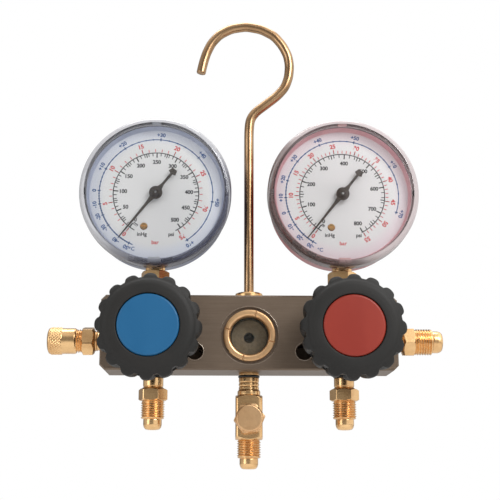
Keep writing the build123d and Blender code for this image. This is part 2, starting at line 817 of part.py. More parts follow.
def make_pointer(plane):
    """A flat pointer with a round boss, a long thin arm and a short arm ending in a broad tail."""
    arm_plane = Plane(
        origin=plane.offset(pointer_front - pointer_thickness).origin,
        x_dir=(cos(radians(pointer_rest)), 0, sin(radians(pointer_rest))),
        z_dir=plane.z_dir,
    )
    with BuildPart() as pointer:
        with BuildSketch(arm_plane) as blade:
            Circle(pointer_hub_d / 2)
            with BuildLine() as arm:
                Polyline(
                    (pointer_hub_d / 2 - 1, 1.5),
                    (pointer_hub_d / 2 + 3.5, 0.8),
                    (pointer_length, 0.25),
                    (pointer_length, -0.25),
                    (pointer_hub_d / 2 + 3.5, -0.8),
                    (pointer_hub_d / 2 - 1, -1.5),
                    close=True,
                )
            make_face()
            with BuildLine() as tail:
                Polyline(
                    (1 - pointer_hub_d / 2, 1.6),
                    (-pointer_hub_d / 2 - 2.5, 0.7),
                    (3.2 - pointer_tail, 0.7),
                    (2.6 - pointer_tail, 2.3),
                    (-pointer_tail, 1.5),
                    (-pointer_tail, -1.5),
                    (2.6 - pointer_tail, -2.3),
                    (3.2 - pointer_tail, -0.7),
                    (-pointer_hub_d / 2 - 2.5, -0.7),
                    (1 - pointer_hub_d / 2, -1.6),
                    close=True,
                )
            make_face()
        extrude(blade.sketch, amount=pointer_thickness)
        turn(
            plane,
            [
                (pointer_hub_d / 2 - 0.6, pointer_front - pointer_thickness - 0.8),
                (pointer_hub_d / 2 - 0.6, pointer_front),
                (1.6, pointer_front + 0.9),
                (1.0, pointer_front + 0.9),
            ],
        )
        bore(plane, arbor_d, pointer_front - 2, pointer_front + 1)
    return pointer.part


def gear_outline(teeth, first, count, phase):
    """Points of straight-flanked teeth about the origin: count of them from tooth number first."""
    pitch_r = gear_module * teeth / 2
    tip_r = pitch_r + gear_addendum * gear_module
    root_r = pitch_r - gear_dedendum * gear_module
    pitch_angle = 360 / teeth
    width = pi * gear_module / 2 - gear_backlash  # tooth width on the pitch circle
    lean = gear_module * gear_addendum * 0.36 * 2
    root_half = (width + lean * 1.1) / 2 / root_r
    tip_half = max(width - lean, 0.12) / 2 / tip_r
    points = []
    for n in range(first, first + count):
        middle = radians(phase + n * pitch_angle)
        for r, offset in ((root_r, -root_half), (tip_r, -tip_half), (tip_r, tip_half), (root_r, root_half)):
            points.append((r * cos(middle + offset), r * sin(middle + offset)))
    return points


def make_arbor(plane):
    """The pointer's shaft with its pinion, running in both plates."""
    with BuildPart() as arbor:
        turn(plane, [(arbor_d / 2, bar_front + 0.1), (arbor_d / 2, pointer_front + 0.6)])
        with BuildSketch(plane.offset(sector_front + (pinion_length - sector_thickness) / 2)) as teeth:
            with BuildLine():
                Polyline(*gear_outline(pinion_teeth, 0, pinion_teeth, -90 + 180 / pinion_teeth), close=True)
            make_face()
        extrude(teeth.sketch, amount=-pinion_length)
    return arbor.part


def make_sector(plane):
    """A toothed sector above its pivot, and a tail that the link pulls."""
    pivot = Plane(origin=plane.from_local_coords((0, -gear_centres, 0)), x_dir=plane.x_dir, z_dir=plane.z_dir)
    first = -(sector_teeth - 3)
    with BuildPart() as sector:
        with BuildSketch(pivot.offset(sector_front)) as blade:
            with BuildLine():
                rim = gear_outline(sector_full_teeth, first, sector_teeth, 90)
                Polyline((0, 0), *rim, close=True)
            make_face()
            Circle(3.0)
            with Locations(Rotation(0, 0, tail_angle)):
                with Locations((tail_reach / 2, 0)):
                    SlotCenterToCenter(tail_reach, 3.4)
                with Locations((tail_reach, 0)):
                    Circle(pivot_d / 2 + bore_clearance, mode=Mode.SUBTRACT)
        extrude(blade.sketch, amount=-sector_thickness)
        # Lightening window between the pivot and the rim
        with BuildSketch(pivot.offset(sector_front)) as window:
            middle = radians(90 - (sector_teeth - 6) / 2 * 360 / sector_full_teeth)
            with Locations((8.4 * cos(middle), 8.4 * sin(middle))):
                Circle(2.6)
        extrude(window.sketch, amount=-sector_thickness, mode=Mode.SUBTRACT)
        turn(pivot, [(pivot_d / 2, bar_front + 0.1), (pivot_d / 2, plate_front - 0.1)])
    return sector.part


def make_frame(plane):
    """Two plates held apart by pillars, carrying the arbor and the sector's pivot."""
    with BuildPart() as frame:
        for level in (plate_front, back_plate_front):
            with BuildSketch(plane.offset(level)) as plate:
                with Locations((0, -gear_centres / 2)):
                    RectangleRounded(plate_width, gear_centres + 2 * plate_margin, 3)
                if level == plate_front:
                    with Locations((zero_screw_x, zero_screw_z)):
                        Circle(zero_screw_d / 2 + 0.8)
                else:
                    with Locations((0, -gear_centres)):
                        Rectangle(plate_width, foot_end - gear_centres, align=(Align.CENTER, Align.MAX))
                    with Locations((0, -movement_screw_drop)):
                        with GridLocations(movement_screw_spacing, 1, 2, 1):
                            Circle(movement_screw_d / 2 + bore_clearance, mode=Mode.SUBTRACT)
                for z in (0, -gear_centres):
                    with Locations((0, z)):
                        Circle(arbor_d / 2 + bore_clearance, mode=Mode.SUBTRACT)
            extrude(plate.sketch, amount=-plate_thickness)
        for x, z in ((-plate_width / 2 + 1.4, -gear_centres - 3.0), (plate_width / 2 - 1.4, 3.2)):
            with BuildSketch(plane.offset(plate_front - 0.2)) as pillar:
                with Locations((x, z)):
                    Circle(1.1)
            extrude(pillar.sketch, amount=-plate_thickness - plate_gap)
    return frame.part


def make_movement_screws(plane):
    """Two cheese-head screws through the back plate's foot into the socket's bar."""
    with BuildPart() as screws:
        for x in (-movement_screw_spacing / 2, movement_screw_spacing / 2):
            at = beside(plane, x, -movement_screw_drop)
            turn(
                at,
                [
                    (movement_screw_d / 2, back_plate_front - movement_screw_length),
                    (movement_screw_d / 2, back_plate_front),
                    (movement_head_d / 2, back_plate_front),
                    (movement_head_d / 2, back_plate_front + movement_head_h),
                ],
            )
            with BuildSketch(at.offset(back_plate_front + movement_head_h)) as slot:
                Rectangle(movement_head_d + 1, 0.5)
            extrude(slot.sketch, amount=-0.5, mode=Mode.SUBTRACT)
    return screws.part


def make_socket(plane):
    """The brass connection: thread into the block, spanner hexagon, and the bar that holds the tube."""
    down = facing(plane.origin.X, 0, gauge_z, (0, 0, -1))
    hex_end = hex_top + socket_hex_h
    block_at = gauge_rise - block_above
    with BuildPart() as socket:
        chamfered_hex(down, socket_af, hex_top, hex_end)
        turn(down, [(socket_neck_d / 2, case_r - 4), (socket_neck_d / 2, hex_top)])
        turn(
            down,
            [
                (socket_neck_d / 2, hex_end),
                (socket_neck_d / 2, block_at - washer_thickness),
                (socket_thread_d / 2, block_at - washer_thickness),
                (socket_thread_d / 2, block_at + socket_depth - 0.5),
            ],
        )
        with BuildSketch(down.offset(socket_bar_top)) as bar:
            with Locations((0, bar_front - socket_bar_depth / 2)):
                Rectangle(socket_bar_w, socket_bar_depth)
        extrude(bar.sketch, amount=case_r - 4 - socket_bar_top)
        bore(down, socket_channel_d, tube_r - tube_radial / 2, block_at + socket_depth)
        # Tapped holes for the movement's screws, and the pocket that the tube is brazed into
        for x in (-movement_screw_spacing / 2, movement_screw_spacing / 2):
            at = beside(plane, x, -movement_screw_drop)
            bore(at, movement_screw_d, bar_front - movement_screw_length, bar_front)
        add(tube_arc(plane, 10, 0.02), mode=Mode.SUBTRACT)
    return socket.part


def make_washer(plane):
    washer_plane = facing(plane.origin.X, 0, block_top, (0, 0, 1))
    with BuildPart() as washer:
        turn(washer_plane, [(socket_neck_d / 2 + 1, 0), (socket_neck_d / 2 + 1, washer_thickness)])
        bore(washer_plane, socket_thread_d, 0, washer_thickness)
    return washer.part


def radial_plane(plane, angle):
    """The plane through a gauge's axis whose x runs outward at an angle and whose y runs to the front."""
    out = (cos(radians(angle)), 0, sin(radians(angle)))
    return Plane(origin=plane.origin, x_dir=out, z_dir=(out[2], 0, -out[0]))


def tube_arc(plane, arc, extra=0.0):
    """The tube's flattened section, thickened by extra all round, revolved back from its root by an arc."""
    with BuildPart() as length:
        with BuildSketch(radial_plane(plane, tube_start - arc)) as section:
            with Locations((tube_r, tube_middle)):
                RectangleRounded(tube_radial + 2 * extra, tube_axial + 2 * extra, tube_radial / 2 - 0.1)
        revolve(section.sketch, axis=Axis(plane.origin, (0, -1, 0)), revolution_arc=arc)
    return length.part


def make_tube(plane):
    """The Bourdon tube: a flattened tube bent into a C, rooted in the socket's bar, with a closed tip."""
    with BuildPart() as tube:
        add(tube_arc(plane, tube_start - tube_end))
        with BuildSketch(radial_plane(plane, tube_end + 3)) as hollow:
            with Locations((tube_r, tube_middle)):
                channel = tube_radial - 2 * tube_wall
                RectangleRounded(channel, tube_axial - 2 * tube_wall, channel / 2 - 0.1)
        revolve(
            hollow.sketch,
            axis=Axis(plane.origin, (0, -1, 0)),
            revolution_arc=tube_start - tube_end - 3,
            mode=Mode.SUBTRACT,
        )
    return tube.part


def make_tube_tip(plane):
    """The brass end that closes the tube, with a lug that reaches forward to the link."""
    at = radial_plane(plane, tube_end)
    inner = tip_eye_r - 2.0
    outer = tube_r + tube_radial / 2
    with BuildPart() as tip:
        with BuildSketch(at) as block:
            with Locations(((inner + outer) / 2, 0)):
                with Locations((0, (link_back - link_gap + tube_middle - tube_axial / 2) / 2)):
                    Rectangle(outer - inner, link_back - link_gap - tube_middle + tube_axial / 2)
        extrude(block.sketch, amount=tube_tip_length)
        fillet(tip.edges().filter_by(Axis.Y), radius=0.8)
    return tip.part


def make_link(plane):
    """A flat link from the sector's tail to the tube's tip, with its pin through the tail."""
    at = Plane(origin=plane.from_local_coords((tail_x, tail_z, 0)), x_dir=plane.x_dir, z_dir=plane.z_dir)
    with BuildPart() as link:
        with BuildSketch(at.offset(link_back)) as blade:
            with Locations(Rotation(0, 0, link_angle)):
                with Locations((link_length / 2, 0)):
                    SlotCenterToCenter(link_length, link_width)
                with Locations((link_length, 0)):
                    Circle(pivot_d / 2 - 0.1, mode=Mode.SUBTRACT)
        extrude(blade.sketch, amount=link_thickness)
        turn(at, [(pivot_d / 2, sector_front - sector_thickness - 0.3), (pivot_d / 2, link_back + 0.3)])
    return link.part


def make_zero_screw(plane):
    at = beside(plane, zero_screw_x, zero_screw_z)
    with BuildPart() as screw:
        turn(
            at,
            [
                (zero_screw_d / 2, plate_front + 0.02),
                (zero_screw_d / 2, dial_front + 0.2),
                (zero_screw_d / 2 - 0.3, dial_front + 0.5),
            ],
        )
        with BuildSketch(at.offset(dial_front + 0.5)) as slot:
            Rectangle(zero_screw_d + 1, 0.7)
        extrude(slot.sketch, amount=-0.9, mode=Mode.SUBTRACT)
    return screw.part


GAUGE_PARTS = {
    "gauge_case": make_case,
    "gauge_lens": make_lens,
    "gauge_dial": make_dial,
    "gauge_pointer": make_pointer,
    "pointer_arbor": make_arbor,
    "sector_gear": make_sector,
    "movement_frame": make_frame,
    "gauge_socket": make_socket,
    "socket_washer": make_washer,
    "bourdon_tube": make_tube,
    "tube_tip": make_tube_tip,
    "movement_link": make_link,
    "movement_screws": make_movement_screws,
    "zero_screw": make_zero_screw,
}
for side, sign in SIDES.items():
    gauge_plane = front(sign * port_x, gauge_z)
    for name, make in GAUGE_PARTS.items():
        save(make(gauge_plane), f"{name}_{side}")
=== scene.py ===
"""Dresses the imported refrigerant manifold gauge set: brass fittings, knobs, gauges and finishes.

Lengths are written in millimetres in the CAD's frame and turned to metres where a mesh is filled.
"""

import bmesh
import bpy
import json
import numpy as np
from math import cos, pi, radians, sin
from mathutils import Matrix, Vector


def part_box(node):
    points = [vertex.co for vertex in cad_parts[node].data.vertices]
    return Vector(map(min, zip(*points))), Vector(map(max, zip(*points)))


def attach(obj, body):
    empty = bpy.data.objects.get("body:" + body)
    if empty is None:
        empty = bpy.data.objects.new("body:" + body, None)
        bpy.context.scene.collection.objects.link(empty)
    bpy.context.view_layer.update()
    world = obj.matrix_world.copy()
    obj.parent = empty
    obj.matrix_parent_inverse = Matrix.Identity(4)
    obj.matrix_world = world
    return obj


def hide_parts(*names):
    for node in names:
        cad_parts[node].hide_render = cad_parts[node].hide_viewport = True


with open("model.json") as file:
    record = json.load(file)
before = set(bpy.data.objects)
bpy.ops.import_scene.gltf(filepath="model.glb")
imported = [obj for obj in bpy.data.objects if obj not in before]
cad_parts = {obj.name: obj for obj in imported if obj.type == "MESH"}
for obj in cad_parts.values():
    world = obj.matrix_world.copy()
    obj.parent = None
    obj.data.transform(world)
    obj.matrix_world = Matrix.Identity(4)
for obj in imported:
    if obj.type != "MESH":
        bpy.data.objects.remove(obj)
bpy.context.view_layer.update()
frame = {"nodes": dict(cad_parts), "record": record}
MM = 0.001

# ------------------------------------------------------------------ places, in millimetres
def middle(node):
    """The centre of a CAD node's box at rest, in millimetres."""
    low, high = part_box(node)
    return [(a + b) / 2 / MM for a, b in zip(low, high)]


block_low, block_high = ([corner / MM for corner in end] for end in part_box("manifold_block"))
SIDES = {side: round(middle(f"knob_cap_{side}")[0], 3) for side in ("low", "high")}
BLOCK_Z = middle("knob_cap_low")[2]
BLOCK_BOTTOM = block_low[2]
BLOCK_END = block_high[0]
FACE_Y = block_low[1]
GAUGE_Z = middle("gauge_dial_low")[2]
SIDE_Z = middle("side_port_high")[2]
BRANCH = (0, 0, middle("centre_port_cap")[2])
HOOK_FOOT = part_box("hook")[0][2] / MM


def turns(count):
    """Equal steps of angle once round."""
    return np.linspace(0.0, 2 * pi, count, endpoint=False)


TURN = turns(120)


# ------------------------------------------------------------------ shader maths
class Value:
    """One output of a node, with arithmetic that adds Math nodes."""

    def __init__(self, nodes, socket):
        self.nodes = nodes
        self.socket = socket

    def math(self, operation, *values, clamp=False):
        inputs = dict(enumerate(values))
        return self.nodes.node("Math", {"operation": operation, "use_clamp": clamp}, inputs)

    def __add__(self, other):
        return self.math("ADD", self, other)

    __radd__ = __add__

    def __sub__(self, other):
        return self.math("SUBTRACT", self, other)

    def __rsub__(self, other):
        return self.math("SUBTRACT", other, self)

    def __mul__(self, other):
        return self.math("MULTIPLY", self, other)

    __rmul__ = __mul__

    def __truediv__(self, other):
        return self.math("DIVIDE", self, other)

    def clip(self):
        return self.math("ADD", self, 0.0, clamp=True)

    def step(self, low, high, start=0.0, end=1.0):
        """Start below low, end above high, smooth between them."""
        inputs = {"Value": self, "From Min": low, "From Max": high, "To Min": start, "To Max": end}
        return self.nodes.node("MapRange", {"interpolation_type": "SMOOTHSTEP"}, inputs)

    def beside(self, out):
        """Another output of the same node."""
        return Value(self.nodes, self.socket.node.outputs[out])


class Nodes:
    """The nodes of a material or of the world, all added by one method."""

    def __init__(self, tree):
        self.tree = tree

    def node(self, kind, settings=None, inputs=None, out=0):
        """Adds a node: its settings first, a ramp's stops among them, then its values or links."""
        node = self.tree.nodes.new("ShaderNode" + kind)
        for key, value in (settings or {}).items():
            if key == "stops":
                ramp = node.color_ramp
                while len(ramp.elements) < len(value):
                    ramp.elements.new(0.5)
                for element, (at, colour) in zip(ramp.elements, value):
                    element.position = at
                    element.color = (*colour, 1.0)
            else:
                setattr(node, key, value)
        for key, value in (inputs or {}).items():
            if isinstance(value, Value):
                self.tree.links.new(value.socket, node.inputs[key])
            else:
                node.inputs[key].default_value = value
        return Value(self, node.outputs[out])


class Finish(Nodes):
    """A material: its constants are set on its shader at once, and what varies is linked to it."""

    def __init__(self, name, **constants):
        self.material = bpy.data.materials.new(name)
        self.material.use_nodes = True
        super().__init__(self.material.node_tree)
        self.shader = self.tree.nodes["Principled BSDF"]
        for key, value in constants.items():
            self.shader.inputs[key.replace("_", " ")].default_value = value
        self.place = self.node("TexCoord", out="Object")

    def set(self, **links):
        for key, value in links.items():
            self.tree.links.new(value.socket, self.shader.inputs[key.replace("_", " ")])

    def noise(self, scale, stretch=(1, 1, 1), detail=3.0, rough=0.5):
        at = self.node("Mapping", {}, {"Vector": self.place, "Scale": stretch})
        inputs = {"Vector": at, "Scale": scale, "Detail": detail, "Roughness": rough}
        return self.node("TexNoise", {}, inputs)

    def mix(self, factor, first, second):
        """A colour between two colours."""
        inputs = {0: factor, 6: first, 7: second}
        return self.node("Mix", {"data_type": "RGBA"}, inputs, out=2)

    def bump(self, height, strength, distance):
        inputs = {"Height": height, "Strength": strength, "Distance": distance}
        self.set(Normal=self.node("Bump", {}, inputs))

    def around(self, x, z):
        """Distance from a gauge's axis, in millimetres, and the angle round it in turns from -0.5 to 0.5."""
        east = self.node("SeparateXYZ", {}, {0: self.place})
        across = (east - x * MM) / MM
        up = (east.beside(2) - z * MM) / MM
        square = across * across + up * up
        return square.math("SQRT", square), up.math("ARCTAN2", up, across) / (2 * pi)


def rgb(red, green, blue):
    """A colour from 0-255 screen values, made linear."""
    channels = np.array([red, green, blue]) / 255.0
    linear = np.where(channels <= 0.04045, channels / 12.92, ((channels + 0.055) / 1.055) ** 2.4)
    return (*linear.tolist(), 1.0)


def brass_finish(name, stretch, tint=(1.0, 1.0, 1.0), rough=0.2):
    """Machined brass: fine turning lines across one axis, with faint tarnish in broad patches."""
    light = [a * b for a, b in zip((238, 196, 142), tint)]
    dark = [a * b for a, b in zip((196, 148, 98), tint)]
    finish = Finish(name, Metallic=1.0, IOR=1.5)
    patches = finish.noise(90.0, detail=5.0, rough=0.6)
    lines = finish.noise(1500.0, stretch, detail=2.0)
    specks = finish.noise(900.0, detail=2.0)
    tarnish = patches.step(0.36, 0.74) * 0.6 + specks.step(0.6, 0.8) * 0.15
    finish.set(Base_Color=finish.mix(tarnish, rgb(*light), rgb(*dark)))
    finish.set(Roughness=lines * 0.16 + patches * 0.14 + (rough - 0.13))
    finish.bump(lines, 0.12, 0.0002)
    return finish.material


def anodised_finish():
    """Satin anodised aluminium: long grain along the bar, worn a little lighter in patches."""
    finish = Finish("block_anodised", Metallic=0.6)
    grain = finish.noise(1500.0, (0.06, 1.0, 1.0), detail=3.0)
    cloud = finish.noise(18.0, detail=4.0, rough=0.6)
    specks = finish.noise(2400.0, detail=1.0)
    worn = grain * 0.3 + cloud * 0.5 + specks * 0.2
    finish.set(Base_Color=finish.mix(worn.step(0.3, 0.7), rgb(104, 89, 75), rgb(120, 104, 89)))
    finish.set(Roughness=grain * 0.12 + cloud * 0.1 + 0.34)
    finish.bump(grain, 0.05, 0.0002)
    return finish.material


def rubber_finish():
    """Matt moulded knob: fine pebble and slightly greyer, polished high spots."""
    finish = Finish("knob_rubber", Specular_IOR_Level=0.35)
    pebble = finish.noise(1900.0, detail=2.0)
    cloud = finish.noise(60.0, detail=3.0)
    finish.set(Base_Color=finish.mix(cloud.step(0.3, 0.75), rgb(26, 25, 23), rgb(32, 30, 28)))
    finish.set(Roughness=cloud * 0.14 + pebble * 0.12 + 0.46)
    finish.bump(pebble, 0.14, 0.0003)
    return finish.material


def plastic_finish(name, dark, light):
    """Moulded plastic: a soft satin, with faint flow marks."""
    finish = Finish(name, Specular_IOR_Level=0.35)
    flow = finish.noise(45.0, (1.0, 1.0, 0.3), detail=3.0)
    grain = finish.noise(1600.0, detail=1.0)
    finish.set(Base_Color=finish.mix(flow.step(0.3, 0.7), rgb(*dark), rgb(*light)))
    finish.set(Roughness=grain * 0.12 + flow * 0.1 + 0.28)
    finish.bump(grain, 0.05, 0.0002)
    return finish.material


def lacquer_finish(name, dark, light):
    """Lacquered sheet steel: glossy colour with slight orange peel."""
    finish = Finish(name, Coat_Weight=0.5, Coat_Roughness=0.08, Metallic=0.2)
    peel = finish.noise(500.0, detail=2.0)
    cloud = finish.noise(30.0, detail=3.0)
    finish.set(Base_Color=finish.mix(cloud.step(0.3, 0.7), rgb(*dark), rgb(*light)))
    finish.set(Roughness=cloud * 0.1 + 0.25)
    finish.bump(peel, 0.08, 0.0004)
    return finish.material


def steel_finish(name, dark, light, rough=0.3):
    """Bare metal: a fine grain across the piece and faint clouds of tone."""
    finish = Finish(name, Metallic=1.0)
    grain = finish.noise(1200.0, (1.0, 0.1, 1.0), detail=2.0)
    cloud = finish.noise(120.0, detail=3.0)
    finish.set(Base_Color=finish.mix(cloud.step(0.3, 0.7), rgb(*dark), rgb(*light)))
    finish.set(Roughness=grain * 0.2 + rough - 0.1)
    finish.bump(grain, 0.08, 0.0002)
    return finish.material


def paint_finish(name, dark, light, rough=0.5):
    """A printed or painted skin: matt, with the faint unevenness of ink."""
    finish = Finish(name)
    mottle = finish.noise(700.0, detail=2.0)
    finish.set(Base_Color=finish.mix(mottle.step(0.35, 0.65), rgb(*dark), rgb(*light)))
    finish.set(Roughness=mottle * 0.15 + rough)
    return finish.material


DIAL_R = 37.8


def dial_finish(name, x, middle_tint, painted_case_light_tint, painted_rim_shade_tint):
    """White enamel, with painted light and painted shade in the colour of the case that it sits in towards its
    rim.
    """
    finish = Finish(name, Coat_Weight=0.1, Coat_Roughness=0.25)
    radius = finish.around(x, GAUGE_Z)[0]
    mottle = finish.noise(160.0, detail=3.0)
    # Past the middle the tints are painted light and painted shade in the case's colour
    stops = [(0.0, middle_tint), (0.76, middle_tint), (0.90, painted_case_light_tint), (0.96, painted_case_light_tint), (1.0, painted_rim_shade_tint)]
    stops = [(at, rgb(*tint)[:3]) for at, tint in stops]
    out = radius / DIAL_R + mottle * 0.03 - 0.015
    finish.set(Base_Color=finish.node("ValToRGB", {"stops": stops}, {"Fac": out}))
    finish.set(Roughness=mottle * 0.12 + 0.4)
    return finish.material


def clear_finish(name, tint, rim=None):
    """Clear moulding: see-through with a glancing shine. Its thick edge is milky, with painted light and
    painted
    shade round it: rim is (gauge axis x, painted lit tint, painted shade tint, angle of the painted shade side
    in degrees, how much clearer it is there, letting more dark through as painted shade)."""
    finish = Finish(name, Roughness=0.06, Specular_IOR_Level=0.6)
    glare = finish.node("Fresnel", {}, {"IOR": 1.45})
    see = finish.node("BsdfTransparent", {}, {"Color": rgb(*tint)})
    ripple = finish.noise(60.0, detail=3.0)
    milk = ripple * 0.02
    # Without a rim these two tints only mottle at random; with one they are the painted lit side and the
    # painted shade side
    light, shade = (205, 208, 205), (190, 194, 190)
    mottle_and_painted_shade = ripple.step(0.35, 0.65)
    if rim:
        x, light, shade, turned, clarity = rim
        radius, angle = finish.around(x, GAUGE_Z)
        # Painted shade: the colour turns to the shade tint on one side of the gauge, and the milk thins there
        # to let more dark through
        away = (angle - turned / 360.0) * (2 * pi)
        mottle_and_painted_shade = (away.math("COSINE", away) + ripple * 0.5 - 0.25).step(-0.1, 0.9)
        milk = radius.step(38.7, 39.2) * (0.86 - mottle_and_painted_shade * clarity) + ripple * 0.02
    finish.set(Base_Color=finish.mix(mottle_and_painted_shade, rgb(*light), rgb(*shade)))
    solid = (glare * 0.6 + milk).clip()
    solid_shader = Value(finish, finish.shader.outputs[0])
    mixed = finish.node("MixShader", {}, {0: solid, 1: see, 2: solid_shader})
    finish.tree.links.new(mixed.socket, finish.tree.nodes["Material Output"].inputs["Surface"])
    return finish.material


FINISHES = {
    "block_anodised": anodised_finish(),
    "brass": brass_finish("brass", (0.1, 0.1, 1.0)),
    # The hook's rod is brass darkened as painted shade, for the dimmer room that it reflects
    "brass_rod_painted_shade": brass_finish("brass_rod_painted_shade", (1.0, 1.0, 0.1), (0.74, 0.73, 0.76), 0.22),
    "brass_along": brass_finish("brass_along", (1.0, 0.1, 0.1)),
    "brass_turned": brass_finish("brass_turned", (1.0, 0.1, 1.0), (0.95, 0.94, 0.97), 0.36),
    "knob_rubber": rubber_finish(),
    "cap_blue": plastic_finish("cap_blue", (20, 88, 132), (28, 94, 138)),
    "cap_red": plastic_finish("cap_red", (140, 46, 34), (152, 54, 40)),
    "case_blue": lacquer_finish("case_blue", (52, 62, 104), (74, 88, 134)),
    "case_red": lacquer_finish("case_red", (166, 42, 46), (192, 66, 66)),
    # Each rim's tints and angle paint light and shade round its gauge
    "lens_clear_low": clear_finish(
        "lens_clear_low", (255, 255, 255), (SIDES["low"], (196, 196, 200), (104, 106, 124), -50.0, 0.5)
    ),
    "lens_clear_high": clear_finish(
        "lens_clear_high", (255, 255, 255), (SIDES["high"], (204, 192, 192), (112, 90, 86), 212.0, 0.4)
    ),
    # Painted light: pale tints of the case colours for the band inside each rim
    "seat_low": plastic_finish("seat_low", (176, 184, 206), (194, 200, 220)),
    "seat_high": plastic_finish("seat_high", (226, 170, 176), (236, 184, 190)),
    "lug_low": plastic_finish("lug_low", (178, 181, 190), (196, 199, 206)),
    "lug_high": plastic_finish("lug_high", (222, 176, 178), (234, 196, 196)),
    "sight_glass_clear": clear_finish("sight_glass_clear", (240, 243, 240)),
    # Dials: white in the middle, then painted light and painted shade in the case's colour towards the rim
    "dial_low": dial_finish("dial_low", SIDES["low"], (246, 246, 245), (238, 242, 251), (208, 215, 234)),
    "dial_high": dial_finish("dial_high", SIDES["high"], (246, 246, 246), (249, 238, 243), (242, 204, 210)),
    "chamber_floor": paint_finish("chamber_floor", (138, 120, 98), (154, 134, 110), 0.45),
    # Bare metal of the countersunk edges, pale enough to be partly a painted highlight
    "bare_edge_and_painted_highlight": steel_finish("bare_edge_and_painted_highlight", (176, 164, 152), (204, 194, 182), 0.3),
    "pointer_dark": paint_finish("pointer_dark", (58, 52, 46), (74, 67, 59), 0.45),
    "seal_black": paint_finish("seal_black", (20, 20, 20), (34, 33, 32), 0.4),
    "dark_clip_gasket_and_reflection": paint_finish("dark_clip_gasket_and_reflection", (36, 38, 42), (58, 60, 66), 0.3),
    "steel": steel_finish("steel", (150, 150, 150), (190, 190, 188)),
    "tube_bronze": steel_finish("tube_bronze", (176, 128, 84), (196, 150, 104)),
    "washer_copper": steel_finish("washer_copper", (176, 104, 72), (200, 128, 92)),
    "print_black": paint_finish("print_black", (20, 20, 24), (34, 34, 38)),
    "print_red": paint_finish("print_red", (212, 52, 56), (224, 72, 74)),
    "print_blue": paint_finish("print_blue", (30, 84, 150), (46, 98, 164)),
}


# ------------------------------------------------------------------ surfaces
WELD = 2e-6  # metres: points nearer than this become one
SLIVER = 1e-7  # metres: edges shorter than this go


def hang(name, mesh, body, finish):
    """Makes a filled mesh a piece of the scene, with its finish, on its body."""
    mesh.materials.append(FINISHES[finish])
    piece = bpy.data.objects.new(name, mesh)
    bpy.context.scene.collection.objects.link(piece)
    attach(piece, body)
    return piece


def lay(name, points, body, finish, closed=(False, True), crisp=32.0):
    """A grid of points (rows, columns, 3) in millimetres as a mesh of quads; closed says which way it wraps.
    Poles and seams are welded, faces point outward, and edges sharper than crisp degrees stay sharp."""
    index = np.arange(points.shape[0] * points.shape[1]).reshape(points.shape[:2])
    if closed[0]:
        index = np.vstack([index, index[:1]])
    if closed[1]:
        index = np.hstack([index, index[:, :1]])
    quads = np.stack([index[:-1, :-1], index[:-1, 1:], index[1:, 1:], index[1:, :-1]], axis=-1)
    mesh = bpy.data.meshes.new(name)
    mesh.from_pydata(points.reshape(-1, 3) * MM, [], quads.reshape(-1, 4).tolist())
    work = bmesh.new()
    work.from_mesh(mesh)
    bmesh.ops.remove_doubles(work, verts=work.verts, dist=WELD)
    bmesh.ops.dissolve_degenerate(work, edges=work.edges, dist=SLIVER)
    bmesh.ops.recalc_face_normals(work, faces=work.faces)
    work.to_mesh(mesh)
    work.free()
    mesh.polygons.foreach_set("use_smooth", np.ones(len(mesh.polygons), dtype=bool))
    mesh.set_sharp_from_angle(angle=radians(crisp))
    return hang(name, mesh, body, finish)


def about(axis, origin, radius, turn, height):
    """Points at a radius and turn round an axis through the origin, a height along it: the radius times cosine
    and sine goes across the axis. The axis points to the front, down, left or right."""
    x, y, z = origin
    across, over = radius * np.cos(turn), radius * np.sin(turn)
    if axis == "front":
        return np.stack([x + across, y - height + 0 * across, z + over], axis=-1)
    if axis == "down":
        return np.stack([x + across, y + over, z - height + 0 * across], axis=-1)
    sign = 1.0 if axis == "right" else -1.0
    return np.stack([x + sign * height + 0 * across, y + across, z + over], axis=-1)


def rows(stations, gap):
    """Stations (radius, height) with equal steps added on the long runs, so that a shape can vary there."""
    out = [stations[0]]
    for first, last in zip(stations[:-1], stations[1:]):
        steps = max(1, int(np.ceil(np.hypot(last[0] - first[0], last[1] - first[1]) / gap)))
        for step in range(1, steps + 1):
            part = step / steps
            out.append((first[0] + (last[0] - first[0]) * part, first[1] + (last[1] - first[1]) * part))
    return np.array(out)


def rounded(stations, radius=0.25, steps=3):
    """Stations with each corner cut by a quadratic curve that starts and ends a radius away from it."""
    points = np.array(stations, dtype=float)
    out = [points[0]]
    for before, at, after in zip(points[:-2], points[1:-1], points[2:]):
        back, ahead = before - at, after - at
        reach = min(radius, 0.45 * np.hypot(*back), 0.45 * np.hypot(*ahead))
        start, end = at + back / np.hypot(*back) * reach, at + ahead / np.hypot(*ahead) * reach
        for part in np.linspace(0, 1, steps + 1):
            out.append((1 - part) ** 2 * start + 2 * part * (1 - part) * at + part**2 * end)
    out.append(points[-1])
    return [tuple(point) for point in out]


def lathe(name, axis, origin, stations, body, finish, shape=None, gap=50.0, turn=TURN, crisp=32.0):
    """A profile of (radius, height) turned round an axis; a shape function may alter the radius."""
    profile = rows(stations, gap)
    radius, height = profile[:, :1] + 0 * turn, profile[:, 1:] + 0 * turn
    if shape:
        radius = shape(radius, turn[None, :] + 0 * radius, height)
    points = about(axis, origin, radius, turn[None, :] + 0 * radius, height)
    return lay(name, points, body, finish, crisp=crisp)


HEX_CORNER = 1.1547  # a hexagon's corner, over half its width across flats
HEX_FACE = 0.965  # the small end of its chamfer, over the same
CHAMFER = 1.7  # how much wider a chamfer gets per millimetre of height


